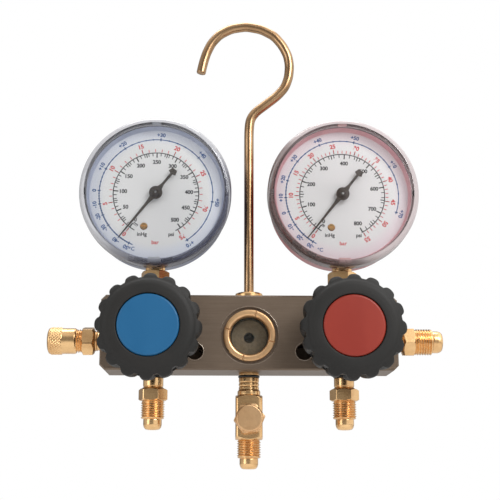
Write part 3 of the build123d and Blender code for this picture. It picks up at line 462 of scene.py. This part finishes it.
def hexed(radius, turn, height, flats, start, end, phase=0.0, ends=(True, True)):
    """Inside a length, the radius is that of a hexagon, cut back by a cone at each end."""
    inside = (height > start - 1e-6) & (height < end + 1e-6) & (radius > 0.9 * flats / 2)
    angle = np.mod(turn - phase, pi / 3) - pi / 6
    side = flats / 2 / np.cos(angle)
    cone = np.full_like(radius, 1e3)
    if ends[0]:
        cone = np.minimum(cone, flats / 2 * HEX_FACE + np.maximum(height - start, 0) * CHAMFER)
    if ends[1]:
        cone = np.minimum(cone, flats / 2 * HEX_FACE + np.maximum(end - height, 0) * CHAMFER)
    return np.where(inside, np.minimum(side, cone), radius)


THREAD_DEPTH = 0.58  # of the pitch


def threaded(radius, turn, height, major, start, end, pitch):
    """Between two heights the radius dips in a helix: crest and root are flat, the flanks straight, and the
    thread runs out over half a pitch at each end."""
    inside = (height > start) & (height < end) & (radius > 0.8 * major / 2)
    phase = np.mod(height / pitch - turn / (2 * pi), 1.0)
    dip = np.clip(np.abs(2 * phase - 1) * 1.5 - 0.3, 0, 1)  # 0 on the crest, 1 at the root
    fade = np.clip((height - start) / (0.5 * pitch), 0, 1) * np.clip((end - height) / (0.5 * pitch), 0, 1)
    return np.where(inside, radius - THREAD_DEPTH * pitch * dip * fade, radius)


def near(a, b, soft):
    """The smaller of two lengths, blended over a soft band where they are close."""
    part = np.clip(0.5 + 0.5 * (b - a) / soft, 0, 1)
    return b * (1 - part) + a * part - soft * part * (1 - part)


# ------------------------------------------------------------------ flare ports
PITCH = 1.27
# Flare fittings: thread diameter, pitch, nose, tip of the cone, width across flats
SMALL_FLARE = (12.7, PITCH, 10.0, 6.6, 14.0)
LARGE_FLARE = (14.3, 1.41, 12.0, 8.4, 14.6)
HOSE_NECK = 8.8
SIDE_NECK = 4.6


def flare_port(name, axis, origin, neck, fitting, phase, finish):
    """A profile turned round the port's axis: root with its O-ring groove, neck, hexagon, helical thread,
    relief and rounded nose, and the bore back down to its end."""
    thread, pitch, nose, tip, flats = fitting
    top = neck + 6.4
    end = top + 9.9
    face = end + 5.6
    stations = rounded(
        [
            (2.4, -5.9),
            (5.3, -5.4),
            (5.3, 0.02),
            (5.5, 0.02),
            (5.5, 1.5),
            (5.1, 1.8),
            (5.1, 2.7),
            (5.5, 3.0),
            (5.5, neck - 1.5),
            (5.25, neck - 1.3),
            (5.25, neck - 0.9),
            (5.7, neck - 0.5),
            (6.3, neck),
            (flats / 2 * HEX_FACE, neck),
            (flats / 2 * HEX_CORNER, neck + 0.9),
            (flats / 2 * HEX_CORNER, top - 0.9),
            (flats / 2 * HEX_FACE, top),
            (thread / 2 - 0.7, top),
            (thread / 2 - 0.7, top + 0.3),
            (thread / 2, top + 0.9),
            (thread / 2, end - 0.7),
            (thread / 2 - 0.6, end - 0.2),
            (nose / 2 - 0.15, end),
            (nose / 2, end + 0.5),
            (nose / 2, face - 2.6),
            (nose / 2 - 0.45, face - 1.1),
            (tip / 2 + 0.5, face - 0.25),
            (tip / 2 - 0.4, face),
            (2.75, face),
            (2.4, face - 0.5),
            (2.4, -5.9),
        ],
        0.3,
    )

    def shape(radius, turn, height):
        radius = hexed(radius, turn, height, flats, neck, top, phase)
        return threaded(radius, turn, height, thread, top + 0.5, end - 0.5, pitch)

    piece = lathe(name, axis, origin, stations, "manifold", finish, shape, gap=0.11)
    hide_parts(name.replace("flare_", ""))


for side, x in SIDES.items():
    flare_port(
        f"flare_hose_port_{side}", "down", (x, 0, BLOCK_BOTTOM), HOSE_NECK, SMALL_FLARE, radians(52), "brass"
    )
LEFT_END = (-BLOCK_END, 0, SIDE_Z)
RIGHT_END = (BLOCK_END, 0, SIDE_Z)
flare_port("flare_side_port_high", "right", RIGHT_END, SIDE_NECK, LARGE_FLARE, radians(6), "brass_along")
flare_port("flare_side_port_low", "left", LEFT_END, SIDE_NECK, SMALL_FLARE, radians(17), "brass_along")


def seal_ring(name, origin, radius, section, height):
    """An O-ring: a circle of the given section swept round the axis of a port that points down."""
    around, across = np.meshgrid(TURN, turns(24))
    out, down = radius + section * np.cos(across), height + section * np.sin(across)
    points = about("down", origin, out, around, down)
    return lay(name, points, "manifold", "seal_black", closed=(True, True))


for side, x in SIDES.items():
    seal_ring(f"hose_port_seal_{side}", (x, 0, BLOCK_BOTTOM), 5.3, 0.5, 2.25)


KNURLS = 26  # grooves of each family, once round
KNURL_RISE = 1.85  # how far along the cap a groove climbs to the next one's place
KNURL_DEPTH = 0.32


def knurled(radius, turn, height):
    """Two crossed families of fine V grooves make raised diamonds on the wide end of the cap."""
    start, end = 21.9, 28.6
    inside = (height > start) & (height < end) & (radius > 6.9)
    one = np.abs(np.mod(KNURLS * turn / (2 * pi) + height / KNURL_RISE, 1.0) - 0.5) * 2
    two = np.abs(np.mod(KNURLS * turn / (2 * pi) - height / KNURL_RISE, 1.0) - 0.5) * 2
    cut = np.clip(1.2 - 1.9 * one, 0, 1) + np.clip(1.2 - 1.9 * two, 0, 1)
    fade = np.clip((height - start) / 0.4, 0, 1) * np.clip((end - height) / 0.8, 0, 1)
    return np.where(inside, radius - KNURL_DEPTH * np.minimum(cut, 1.0) * fade, radius)


cap_stations = rounded(
    [
        (0.0, 26.8),
        (5.5, 26.8),
        (5.5, 21.2),
        (6.4, 21.2),
        (6.4, 14.2),
        (6.5, 14.2),
        (7.0, 14.9),
        (7.0, 21.4),
        (7.05, 21.8),
        (7.5, 22.3),
        (7.5, 27.8),
        (6.8, 29.1),
        (5.3, 29.75),
        (0.0, 29.8),
    ],
    0.25,
)
side_cap = lathe(
    "knurled_cap", "left", LEFT_END, cap_stations, "side_port_cap", "brass_along",
    knurled, gap=0.16, turn=turns(360), crisp=50,
)
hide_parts("side_port_cap")


# ------------------------------------------------------------------ centre tee
TEE_TOP = 12.4
TEE_FOOT = 36.0
TEE_THREAD_END = 45.9


def tee_shape(radius, turn, height):
    """The body is a square bar, a superellipse of power nine, turned to a cone at both ends. The thread is
    below it."""
    inside = (height > TEE_TOP - 0.01) & (height < TEE_FOOT + 0.01) & (radius > 6.8)
    power = 9.0
    square = 7.3 / (np.abs(np.cos(turn)) ** power + np.abs(np.sin(turn)) ** power) ** (1 / power)
    cone = 7.15 + np.minimum(height - TEE_TOP, TEE_FOOT - height) * CHAMFER
    radius = np.where(inside, near(square, cone, 0.3), radius)
    return threaded(radius, turn, height, 12.7, TEE_FOOT + 0.5, TEE_THREAD_END - 0.5, PITCH)


tee_stations = rounded(
    [
        (2.4, -5.9),
        (5.3, -5.4),
        (5.3, 0.02),
        (5.5, 0.02),
        (5.5, 1.3),
        (5.1, 1.6),
        (5.1, 2.6),
        (5.5, 2.9),
        (5.5, 5.0),
        (5.25, 5.2),
        (5.25, 5.7),
        (5.5, 5.9),
        (5.5, 7.0),
        (5.25, 7.2),
        (5.25, 7.7),
        (5.5, 7.9),
        (5.5, 9.3),
        (5.9, 9.7),
        (6.2, 10.1),
        (6.2, 11.9),
        (6.0, 12.4),
        (7.0, 12.4),
        (9.2, 13.4),
        (9.2, 35.0),
        (7.0, 36.0),
        (5.7, 36.0),
        (5.7, 36.3),
        (6.35, 36.9),
        (6.35, 45.2),
        (5.75, 45.7),
        (4.85, 45.9),
        (5.0, 46.4),
        (5.0, 48.9),
        (4.55, 50.4),
        (3.8, 51.25),
        (2.9, 51.5),
        (2.75, 51.5),
        (2.4, 51.0),
        (2.4, -5.9),
    ],
    0.25,
)
tee = lathe(
    "tee_body", "down", (0, 0, BLOCK_BOTTOM), tee_stations, "manifold", "brass", tee_shape, gap=0.11
)
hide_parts("centre_port_tee")
branch_stations = rounded([(2.6, 5.0), (5.5, 5.0), (5.5, 11.3), (5.1, 11.5), (2.6, 11.5), (2.6, 5.0)], 0.2)
lathe("tee_branch", "front", BRANCH, branch_stations, "manifold", "brass")


TEE_CAP_FLATS = 14.6


def tee_cap_shape(radius, turn, height):
    """A hexagon from the open end to the chamfer, which the profile itself gives."""
    return hexed(radius, turn, height, TEE_CAP_FLATS, 7.7, 15.6, 0.12, (False, False))


tee_cap_stations = rounded(
    [
        (0.0, 11.8),
        (5.6, 11.8),
        (5.6, 7.7),
        (TEE_CAP_FLATS / 2 * 0.99, 7.7),
        (TEE_CAP_FLATS / 2 * HEX_CORNER, 8.5),
        (TEE_CAP_FLATS / 2 * HEX_CORNER, 14.6),
        (7.25, 15.6),
        (7.15, 16.6),
        (6.5, 17.15),
        (0.0, 17.2),
    ],
    0.3,
)
tee_cap = lathe(
    "tee_cap", "front", BRANCH, tee_cap_stations, "centre_port_cap", "brass_turned",
    tee_cap_shape, gap=0.3,
)
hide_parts("centre_port_cap")
seal_ring("tee_seal", (0, 0, BLOCK_BOTTOM), 5.35, 0.55, 2.1)


# ------------------------------------------------------------------ knobs
LOBES = 16
LOBE_R = 3.6
LOBE_CIRCLE_R = 24.0
LOBE_PHASE = radians(-1.5)
WHEEL_R = 24.9
WHEEL_TAPER = 0.09


def lobed(radius, turn, height):
    """Sixteen round lobes, each a circle on the lobe circle seen from the axis, stand out of a wheel that
    narrows to the back. In front they sink softly into the turned shape, which stays where it is."""
    off = (np.mod((turn - LOBE_PHASE) * LOBES / (2 * pi) + 0.5, 1.0) - 0.5) * 2 * pi / LOBES
    half = np.clip(LOBE_R**2 - (LOBE_CIRCLE_R * np.sin(off)) ** 2, 0, None)
    lobe = np.where(half > 0, LOBE_CIRCLE_R * np.cos(off) + np.sqrt(half), 0)
    wheel = WHEEL_R - WHEEL_TAPER * np.clip(34 - height, 0, 20)
    edge = -near(-lobe, -wheel, 0.7)
    outside = (radius > 20.4) & (height > 14.6)
    return np.where(outside, near(radius, edge, 0.9), radius)


knob_stations = rounded(
    [
        (6.0, 35.25),
        (16.12, 35.25),
        (16.12, 37.6),
        (16.5, 38.0),
        (18.6, 38.0),
        (21.2, 37.7),
        (22.9, 36.9),
        (24.0, 35.7),
        (25.8, 34.9),
        (27.4, 33.2),
        (27.6, 31.0),
        (27.2, 27.0),
        (25.6, 19.0),
        (24.6, 15.2),
        (23.8, 14.15),
        (22.8, 14.0),
        (21.2, 14.0),
        (20.2, 31.3),
        (7.5, 31.3),
        (7.5, 16.0),
        (3.55, 16.0),
        (3.55, 17.2),
        (3.1, 17.2),
        (3.1, 32.0),
        (6.0, 32.0),
        (6.0, 35.25),
    ],
    0.7,
    4,
)
cap_face = rounded(
    [(0.0, 35.35), (15.85, 35.35), (15.85, 37.2), (15.4, 37.75), (14.9, 37.95), (0.0, 38.0)],
    0.3,
    4,
)
for side, x in SIDES.items():
    valve = (x, FACE_Y, BLOCK_Z)
    knob = lathe(
        f"lobed_knob_{side}", "front", valve, knob_stations, f"{side}_valve", "knob_rubber",
        lobed, gap=0.7, turn=turns(384), crisp=55,
    )
    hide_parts(f"knob_{side}")
    colour = {"low": "cap_blue", "high": "cap_red"}[side]
    cap = lathe(f"colour_cap_{side}", "front", valve, cap_face, f"{side}_valve", colour, crisp=40)
    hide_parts(f"knob_cap_{side}")


# ------------------------------------------------------------------ hook
ROD_R = 2.7
FOOT_R = 4.0
# The line of the hook, as (x, z) from the tip over the crown to the straight shank
HOOK_BENDS = [
    (-27.9, -27.0), (-26.6, -20.6), (-24.8, -14.4), (-21.9, -8.1), (-17.2, -2.7), (-10.4, 1.0), (-1.6, 2.5),
    (7.4, 0.8), (14.8, -3.2), (19.6, -9.1), (22.7, -15.4), (23.7, -21.9), (23.1, -28.8), (20.9, -35.2),
    (16.2, -40.6), (9.8, -45.8), (3.9, -50.4), (0.9, -54.5), (0.2, -59.0), (0.0, -64.4), (0.0, -80.0),
]


def bent_rod(name, bends, foot, body, finish):
    """A round rod swept along a smooth line through the bends and straight down to the foot, where it widens.
    The line is the polyline through them in equal steps, averaged by a bell curve nine millimetres wide. The
    rod is a circle square to the line."""
    path = np.array(bends)
    along = np.concatenate([[0.0], np.cumsum(np.hypot(*np.diff(path, axis=0).T))])
    steps = np.arange(0.0, along[-1], 0.25)
    line = np.stack([np.interp(steps, along, path[:, 0]), np.interp(steps, along, path[:, 1])], axis=-1)
    bell = np.hanning(38)[1:-1]
    bell /= bell.sum()
    past_tip = 2 * line[0] - line[18:0:-1]
    past_shank = 2 * line[-1] - line[-2:-20:-1]
    padded = np.vstack([past_tip, line, past_shank])
    line = np.stack([np.convolve(padded[:, k], bell, "valid") for k in (0, 1)], axis=-1)[::3]
    line[:, 1] -= line[:, 1].max() - ROD_R  # the crown's inside is at the origin
    shank = [(0.0, z) for z in np.linspace(line[-1, 1] - 1.0, foot + 3.2, 60)]
    foot_line = [(0.0, foot + up) for up in (3.0, 2.99, 0.3, 0.0)]
    line = np.vstack([line, shank, foot_line])
    way = np.gradient(line, axis=0)
    way[-64:] = (0.0, -1.0)
    way /= np.hypot(way[:, 0], way[:, 1])[:, None]
    size = np.full(len(line), ROD_R)
    size[-3:] = (FOOT_R, FOOT_R, FOOT_R - 0.3)
    tip = line[0] + way[0] * np.array([[0.0], [0.0], [0.25], [0.7]])
    line = np.vstack([tip, line[1:], line[-1:]])
    way = np.vstack([way[:1]] * 4 + [way[1:], way[-1:]])
    size = np.concatenate([[0.0, 1.9, 2.5, ROD_R], size[1:], [0.0]])
    turn = turns(32)
    across = size[:, None] * np.cos(turn)
    points = np.stack(
        [line[:, :1] - way[:, 1:] * across, size[:, None] * np.sin(turn), line[:, 1:] + way[:, :1] * across],
        axis=-1,
    )
    return lay(name, points, body, finish, crisp=50)


rod = bent_rod("bent_hook", HOOK_BENDS, HOOK_FOOT, "hook", "brass_rod_painted_shade")
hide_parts("hook")


# ------------------------------------------------------------------ sight glass and the block's holes
SIGHT = (0, FACE_Y, BLOCK_Z)
ring_stations = rows(
    rounded(
        [
            (10.3, -5.0),
            (14.0, -5.0),
            (14.0, 0.1),
            (13.6, 0.7),
            (12.9, 0.8),
            (11.6, 0.8),
            (11.0, 0.55),
            (10.3, -0.3),
            (10.3, -5.0),
        ],
        0.2,
    ),
    0.35,
)
SLOT_ANGLE = radians(-16)
SLOT_HALF = 0.3
SLOT_FLOOR = -0.5
# Four spanner slots: a point nearer than half a slot to a slot's middle drops to its floor
slot_turn = turns(720)
radius, height = ring_stations[:, :1] + 0 * slot_turn, ring_stations[:, 1:] + 0 * slot_turn
from_slot = np.abs(np.mod(slot_turn - SLOT_ANGLE + pi / 4, pi / 2) - pi / 4) * radius
height = np.where((from_slot < SLOT_HALF) & (height > SLOT_FLOOR), SLOT_FLOOR, height)
ring_points = about("front", SIGHT, radius, slot_turn + 0 * radius, height)
sight_ring = lay("slotted_ring", ring_points, "manifold", "brass_turned")
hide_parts("sight_glass_ring")


def bevel(name, place, inner, outer, depth):
    """The bare countersunk edge of a hole in the block's face: a shallow ring over the sharp edge, paler than
    the block, so partly a painted highlight.
    """
    stations = [
        (inner, -depth),
        (outer, 0.02),
        (outer + 0.05, 0.0),
        (outer, -0.05),
        (inner - 0.03, -depth - 0.05),
        (inner, -depth),
    ]
    lathe(name, "front", place, stations, "manifold", "bare_edge_and_painted_highlight", crisp=60)


bevel("recess_edge", SIGHT, 15.28, 15.75, 0.45)
for side, sign in (("left", -1), ("right", 1)):
    place = (sign * 29.3, FACE_Y, BLOCK_Z - 8.6)
    bevel(f"mounting_hole_edge_{side}", place, 4.48, 4.85, 0.35)
floor_ring = [(2.9, -9.94), (9.6, -9.9), (9.6, -9.98), (2.9, -9.98), (2.9, -9.94)]
lathe("chamber_floor", "front", SIGHT, floor_ring, "manifold", "chamber_floor")


# ------------------------------------------------------------------ gauges
lens_stations = rounded(
    [
        (41.5, 6.3),
        (42.0, 6.8),
        (42.0, 14.6),
        (41.6, 16.2),
        (40.6, 17.3),
        (39.0, 18.0),
        (36.5, 18.4),
        (34.0, 18.5),
        (0.0, 18.5),
        (0.0, 16.5),
        (37.4, 16.5),
        (38.5, 15.6),
        (38.5, 12.3),
        (40.5, 12.3),
        (40.5, 6.3),
        (41.5, 6.3),
    ],
    0.5,
    4,
)


def bar(radius_in, radius_out, angle, half_turn, low, high):
    """A small block bent to the rim: a rounded square section swept over a short arc, with closed ends."""
    section = turns(32)
    square = (np.abs(np.cos(section)) ** 6 + np.abs(np.sin(section)) ** 6) ** (-1 / 6)
    arc = np.linspace(-1, 1, 15)
    swell = np.clip(1 - np.abs(arc) ** 12, 0, 1) ** 0.5
    middle, half = (radius_in + radius_out) / 2, (radius_out - radius_in) / 2
    radius = middle + half * swell[:, None] * square * np.cos(section)
    height = (low + high) / 2 + (high - low) / 2 * swell[:, None] * square * np.sin(section)
    return radius, radians(angle) + radians(half_turn) * arc[:, None] + 0 * radius, height


# Dark bayonet clips under the clear rim, set where the rim shows dark reflections, so partly a painted
# reflection: angle and half length, in degrees
CLIPS_AND_DARK_REFLECTIONS = {
    "low": [(180, 2.6), (0, 3.0), (236, 6.0), (258, 4.2), (281, 4.0)],
    "high": [(180, 2.4), (0, 2.0), (229, 5.0), (243, 4.0), (284, 4.0)],
}
# Moulded lugs of the clear rim, at twelve and six o'clock: angle, half length in degrees, inner radius
LUGS = [(90, 4.0, 38.2), (270, 5.6, 37.4)]

# Where each scale starts, in degrees, and its steps
SCALES = {
    "low": {
        "bar_zero": 233.5, "bar_step": 8.35, "bar_last": 35, "psi_last": 500, "psi_step": 50, "psi_fine": 10,
    },
    "high": {
        "bar_zero": 235.0, "bar_step": 5.4, "bar_last": 55, "psi_last": 800, "psi_step": 100, "psi_fine": 20,
    },
}
# The angle of each ten degrees C, which aren't evenly spaced
DEGREES = {
    "low": {
        -50: 243, -40: 231, -30: 215, -20: 203, -10: 191, 0: 177,
        10: 153, 20: 124, 30: 86, 40: 42, 50: -8, 60: -56,
    },
    "high": {
        -30: 238, -20: 226, -10: 213, 0: 198,
        10: 183, 20: 165, 30: 142, 40: 113, 50: 77, 60: 32, 70: -18,
    },
}
DIAL_Y = -9.03
PSI = 0.0689476  # in bar
# Radii of the printed arcs and of the foot of the bar strokes
PSI_ARC = 23.8
VACUUM_ARC = 20.2
BAR_FOOT = 24.3
DEGREE_ARC = 31.6
UNITS_Z = GAUGE_Z - 23.2


def strokes(x, angles, inner, outer, width):
    """Radial strokes as flat quads on the dial: one row of four corners per angle in degrees."""
    angle = np.radians(np.asarray(angles, dtype=float))[:, None]
    reach = np.array([inner, outer, outer, inner]) + 0 * angle
    side = np.array([-0.5, -0.5, 0.5, 0.5]) * width
    points = np.stack(
        [
            x + reach * np.cos(angle) - side * np.sin(angle),
            DIAL_Y + 0 * reach,
            GAUGE_Z + reach * np.sin(angle) + side * np.cos(angle),
        ],
        axis=-1,
    ).reshape(-1, 3)
    return points, np.arange(len(points)).reshape(-1, 4)


def arc_line(x, radius, width, start, end):
    """A thin printed arc as a strip of quads."""
    angle = np.radians(np.linspace(start, end, 181))[:, None]
    reach = radius + np.array([-0.5, 0.5]) * width + 0 * angle
    across, up = x + reach * np.cos(angle), GAUGE_Z + reach * np.sin(angle)
    points = np.stack([across, DIAL_Y + 0 * reach, up], axis=-1)
    first = np.arange(180) * 2
    return points.reshape(-1, 3), np.stack([first, first + 1, first + 3, first + 2], axis=-1)


def words(text, x, z, size, lean=0.0, bold=0.0):
    """Flat lettering on the dial, centred at x, z and turned anticlockwise by lean degrees."""
    curve = bpy.data.curves.new("lettering", "FONT")
    curve.body = text
    curve.size = size
    curve.offset = bold
    curve.align_x = "CENTER"
    curve.align_y = "CENTER"
    holder = bpy.data.objects.new("lettering", curve)
    mesh = bpy.data.meshes.new_from_object(holder)
    flat = np.empty(len(mesh.vertices) * 3)
    mesh.vertices.foreach_get("co", flat)
    flat = flat.reshape(-1, 3)
    turn = radians(lean)
    across = x + flat[:, 0] * cos(turn) - flat[:, 1] * sin(turn)
    up = z + flat[:, 0] * sin(turn) + flat[:, 1] * cos(turn)
    faces = [list(polygon.vertices) for polygon in mesh.polygons]
    bpy.data.objects.remove(holder)
    bpy.data.meshes.remove(mesh)
    bpy.data.curves.remove(curve)
    return np.stack([across, np.full(len(flat), DIAL_Y), up], axis=-1), faces


def printing(name, parts, finish):
    """Joins printed strokes and letters of one colour into one flat piece facing the front."""
    points, faces, count = [], [], 0
    for part_points, part_faces in parts:
        points.append(part_points)
        faces += [[int(corner) + count for corner in face] for face in part_faces]
        count += len(part_points)
    mesh = bpy.data.meshes.new(name)
    mesh.from_pydata(np.vstack(points) * MM, [], faces)
    work = bmesh.new()
    work.from_mesh(mesh)
    work.normal_update()
    bmesh.ops.reverse_faces(work, faces=[face for face in work.faces if face.normal.y > 0])
    work.to_mesh(mesh)
    work.free()
    hang(name, mesh, "manifold", finish)


def print_dial(side, x):
    """Three scales: psi inside the black arc, bar in red outside it, and degrees C in blue further out."""
    scale = SCALES[side]

    def bar_angle(bars):
        return scale["bar_zero"] - scale["bar_step"] * np.asarray(bars, dtype=float)

    def on(angle, radius):
        return x + radius * cos(radians(angle)), GAUGE_Z + radius * sin(radians(angle))

    black = [arc_line(x, PSI_ARC, 0.5, bar_angle(-0.9), bar_angle(scale["bar_last"] + 0.4))]
    fine = np.arange(0, scale["psi_last"] + 1, scale["psi_fine"])
    black.append(strokes(x, bar_angle(fine * PSI), 21.9, PSI_ARC, 0.44))
    middle = np.arange(0, scale["psi_last"] + 1, scale["psi_step"] / 2)
    black.append(strokes(x, bar_angle(middle * PSI), 21.5, PSI_ARC, 0.52))
    for psi in range(0, scale["psi_last"] + 1, scale["psi_step"]):
        angle = float(bar_angle(psi * PSI))
        black.append(strokes(x, [angle], 21.0, PSI_ARC, 0.62))
        black.append(words(str(psi), *on(angle, 18.4 if psi else 18.6), 3.0, 0.0, 0.11))
    black.append(words("psi", x + 8.8, UNITS_Z, 2.9, 0.0, 0.08))
    black.append(arc_line(x, VACUUM_ARC, 0.3, bar_angle(-0.95), bar_angle(0)))
    black.append(strokes(x, bar_angle([-0.95, -0.7, -0.45, -0.2]), VACUUM_ARC, 21.5, 0.3))
    black.append(words("inHg", x - 7.4, UNITS_Z, 2.9, 0.0, 0.08))
    printing(f"print_black_{side}", black, "print_black")
    red = [strokes(x, bar_angle(np.arange(0, scale["bar_last"] + 1)), BAR_FOOT, 26.0, 0.38)]
    for bars in range(0, scale["bar_last"] + 1, 5):
        angle = float(bar_angle(bars))
        red.append(strokes(x, [angle], BAR_FOOT, 26.8, 0.5))
        red.append(words(str(bars), *on(angle, 28.6), 3.3, angle - 90, 0.12))
    red.append(words("bar", x, GAUGE_Z - 27.8, 3.1, 0.0, 0.06))
    printing(f"print_red_{side}", red, "print_red")
    marks = DEGREES[side]
    steps = sorted(marks)
    ends = (marks[steps[0]] + 4, marks[steps[-1]] - 2)
    blue = [arc_line(x, DEGREE_ARC, 0.5, *ends)]
    fine = np.interp(np.arange(steps[0], steps[-1] + 0.1, 2), steps, [marks[step] for step in steps])
    blue.append(strokes(x, fine, 31.15, 32.05, 0.62))
    for degree in steps:
        angle = marks[degree]
        blue.append(strokes(x, [angle], 30.8, 32.5, 0.62))
        text = f"+{degree}" if degree > 0 else str(degree)
        blue.append(words(text, *on(angle, 34.3), 3.0, angle - 90, 0.1))
    blue.append(words("°C", *on(248, 34.0), 2.9, 0.0, 0.05))
    printing(f"print_blue_{side}", blue, "print_blue")


for side, x in SIDES.items():
    gauge = (x, 0, GAUGE_Z)
    lens = lathe(
        f"clear_lens_{side}", "front", gauge, lens_stations, "manifold", f"lens_clear_{side}",
        turn=turns(180), crisp=40,
    )
    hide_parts(f"gauge_lens_{side}")
    print_dial(side, x)
    for number, (angle, half) in enumerate(CLIPS_AND_DARK_REFLECTIONS[side]):
        # Dark clips that also stand in for painted dark reflections in the rim
        clip = about("front", gauge, *bar(38.5, 40.4, angle, half, 12.4, 15.6))
        lay(f"lens_clip_{side}_{number}", clip, "manifold", "dark_clip_gasket_and_reflection")
    for number, (angle, half, inner) in enumerate(LUGS):
        lug = about("front", gauge, *bar(inner, 40.6, angle, half, 13.5, 16.6))
        lay(f"lens_lug_{side}_{number}", lug, "manifold", f"lug_{side}")
    gasket = [(38.5, 12.02), (39.1, 12.02), (39.1, 12.28), (38.5, 12.28), (38.5, 12.02)]
    lathe(f"lens_gasket_{side}", "front", gauge, gasket, "manifold", "dark_clip_gasket_and_reflection")
    # Painted light: a pale ring in a lit tint of the case's colour, where the case's inner wall lies in shade
    # between the dial and the lens
    painted_light_band = [(37.0, 9.02), (38.6, 11.98), (38.9, 11.98), (38.9, 9.02), (37.0, 9.02)]
    lathe(f"dial_painted_light_band_{side}", "front", gauge, painted_light_band, "manifold", f"seat_{side}")


# ------------------------------------------------------------------ finishes of the frame's own pieces
# A node takes the finish of its slot, apart from these
NODE_FINISH = {"gauge_dial_low": "dial_low", "gauge_dial_high": "dial_high"}
SLOT_FINISH = {"lens_clear": "lens_clear_low"}
slots = {row["node"]: row["material_slot"] for row in frame["record"]["subparts"]}
for name, node in frame["nodes"].items():
    wanted = NODE_FINISH.get(name, SLOT_FINISH.get(slots[name], slots[name]))
    for place in node.material_slots:
        place.material = FINISHES[wanted]

# ------------------------------------------------------------------ studio
FLOOR_Z = -0.42
floor_points = np.array([[-3, -3, FLOOR_Z], [3, -3, FLOOR_Z], [3, 3, FLOOR_Z], [-3, 3, FLOOR_Z]])
floor_mesh = bpy.data.meshes.new("floor")
floor_mesh.from_pydata(floor_points, [], [[0, 1, 2, 3]])
floor = bpy.data.objects.new("floor", floor_mesh)
bpy.context.scene.collection.objects.link(floor)
floor_finish = Finish("floor_pale", Roughness=0.9)
floor_cloud = floor_finish.noise(3.0)
floor_finish.set(Base_Color=floor_finish.mix(floor_cloud * 0.2, rgb(238, 238, 238), rgb(244, 244, 244)))
floor_mesh.materials.append(floor_finish.material)

world = bpy.data.worlds.new("studio")
bpy.context.scene.world = world
world.use_nodes = True
sky = Nodes(world.node_tree)
camera_ray = sky.node("LightPath", out="Is Camera Ray")
seen = camera_ray.math("MAXIMUM", camera_ray, camera_ray.beside("Is Transmission Ray"))
toward_x = sky.node("SeparateXYZ", {}, {0: sky.node("TexCoord", out="Generated")})

# In reflections the room is dim in front and on the left, with a bright window on the right and one above
window = toward_x.step(0.1, 0.42, 0.0, 0.75) * toward_x.beside(1).step(0.3, 0.9, 1.0, 0.4)
window_above = toward_x.beside(2).step(0.42, 0.75, 0.0, 0.6)
far_left = toward_x.step(-0.98, -0.8, 0.3, 0.0)
room = window + window_above + far_left + 0.3
SOFT_LIGHT = 0.55
lit = {0: camera_ray.beside("Is Glossy Ray"), 2: SOFT_LIGHT, 3: room}
shine = sky.node("Mix", {"data_type": "FLOAT"}, lit)
strength = sky.node("Mix", {"data_type": "FLOAT"}, {0: seen, 2: shine, 3: 1.0})
background = sky.tree.nodes["Background"]
background.inputs["Color"].default_value = (1.0, 1.0, 1.0, 1.0)
sky.tree.links.new(strength.socket, background.inputs["Strength"])


def softbox(name, place, size, power, target):
    """A rectangular area lamp that faces a target."""
    lamp = bpy.data.lights.new(name, "AREA")
    lamp.shape = "RECTANGLE"
    lamp.size, lamp.size_y = size
    lamp.energy = power
    holder = bpy.data.objects.new(name, lamp)
    bpy.context.scene.collection.objects.link(holder)
    way = Vector(target) - Vector(place)
    holder.location = place
    holder.rotation_euler = way.to_track_quat("-Z", "Y").to_euler()


LIT = (0, 0, -0.15)
softbox("key_light", (0.55, -0.75, 0.4), (0.5, 0.5), 6.5, LIT)
softbox("fill_light", (-0.8, -0.6, 0.0), (0.5, 0.7), 2.0, LIT)
softbox("top_light", (-0.05, 0.2, 0.7), (0.7, 0.4), 4.0, LIT)

LENS = 76.68
SENSOR = 36.0
CAMERA_PLACE = (-0.01463, -0.58194, -0.26272)
CAMERA_WAY = (0.02554, 0.97520, 0.21985)
CAMERA_RIGHT = (0.99966, -0.02618, 0.0)
camera_data = bpy.data.cameras.new("view")
camera_data.lens = LENS
camera_data.sensor_width = SENSOR
camera_data.clip_start = 0.01
camera = bpy.data.objects.new("view", camera_data)
bpy.context.scene.collection.objects.link(camera)
ahead = Vector(CAMERA_WAY).normalized()
right = Vector(CAMERA_RIGHT).normalized()
above = right.cross(ahead)
turned = Matrix((right, above, -ahead)).transposed()
camera.matrix_world = Matrix.Translation(CAMERA_PLACE) @ turned.to_4x4()
bpy.context.scene.camera = camera
bpy.context.scene.view_settings.view_transform = "Standard"
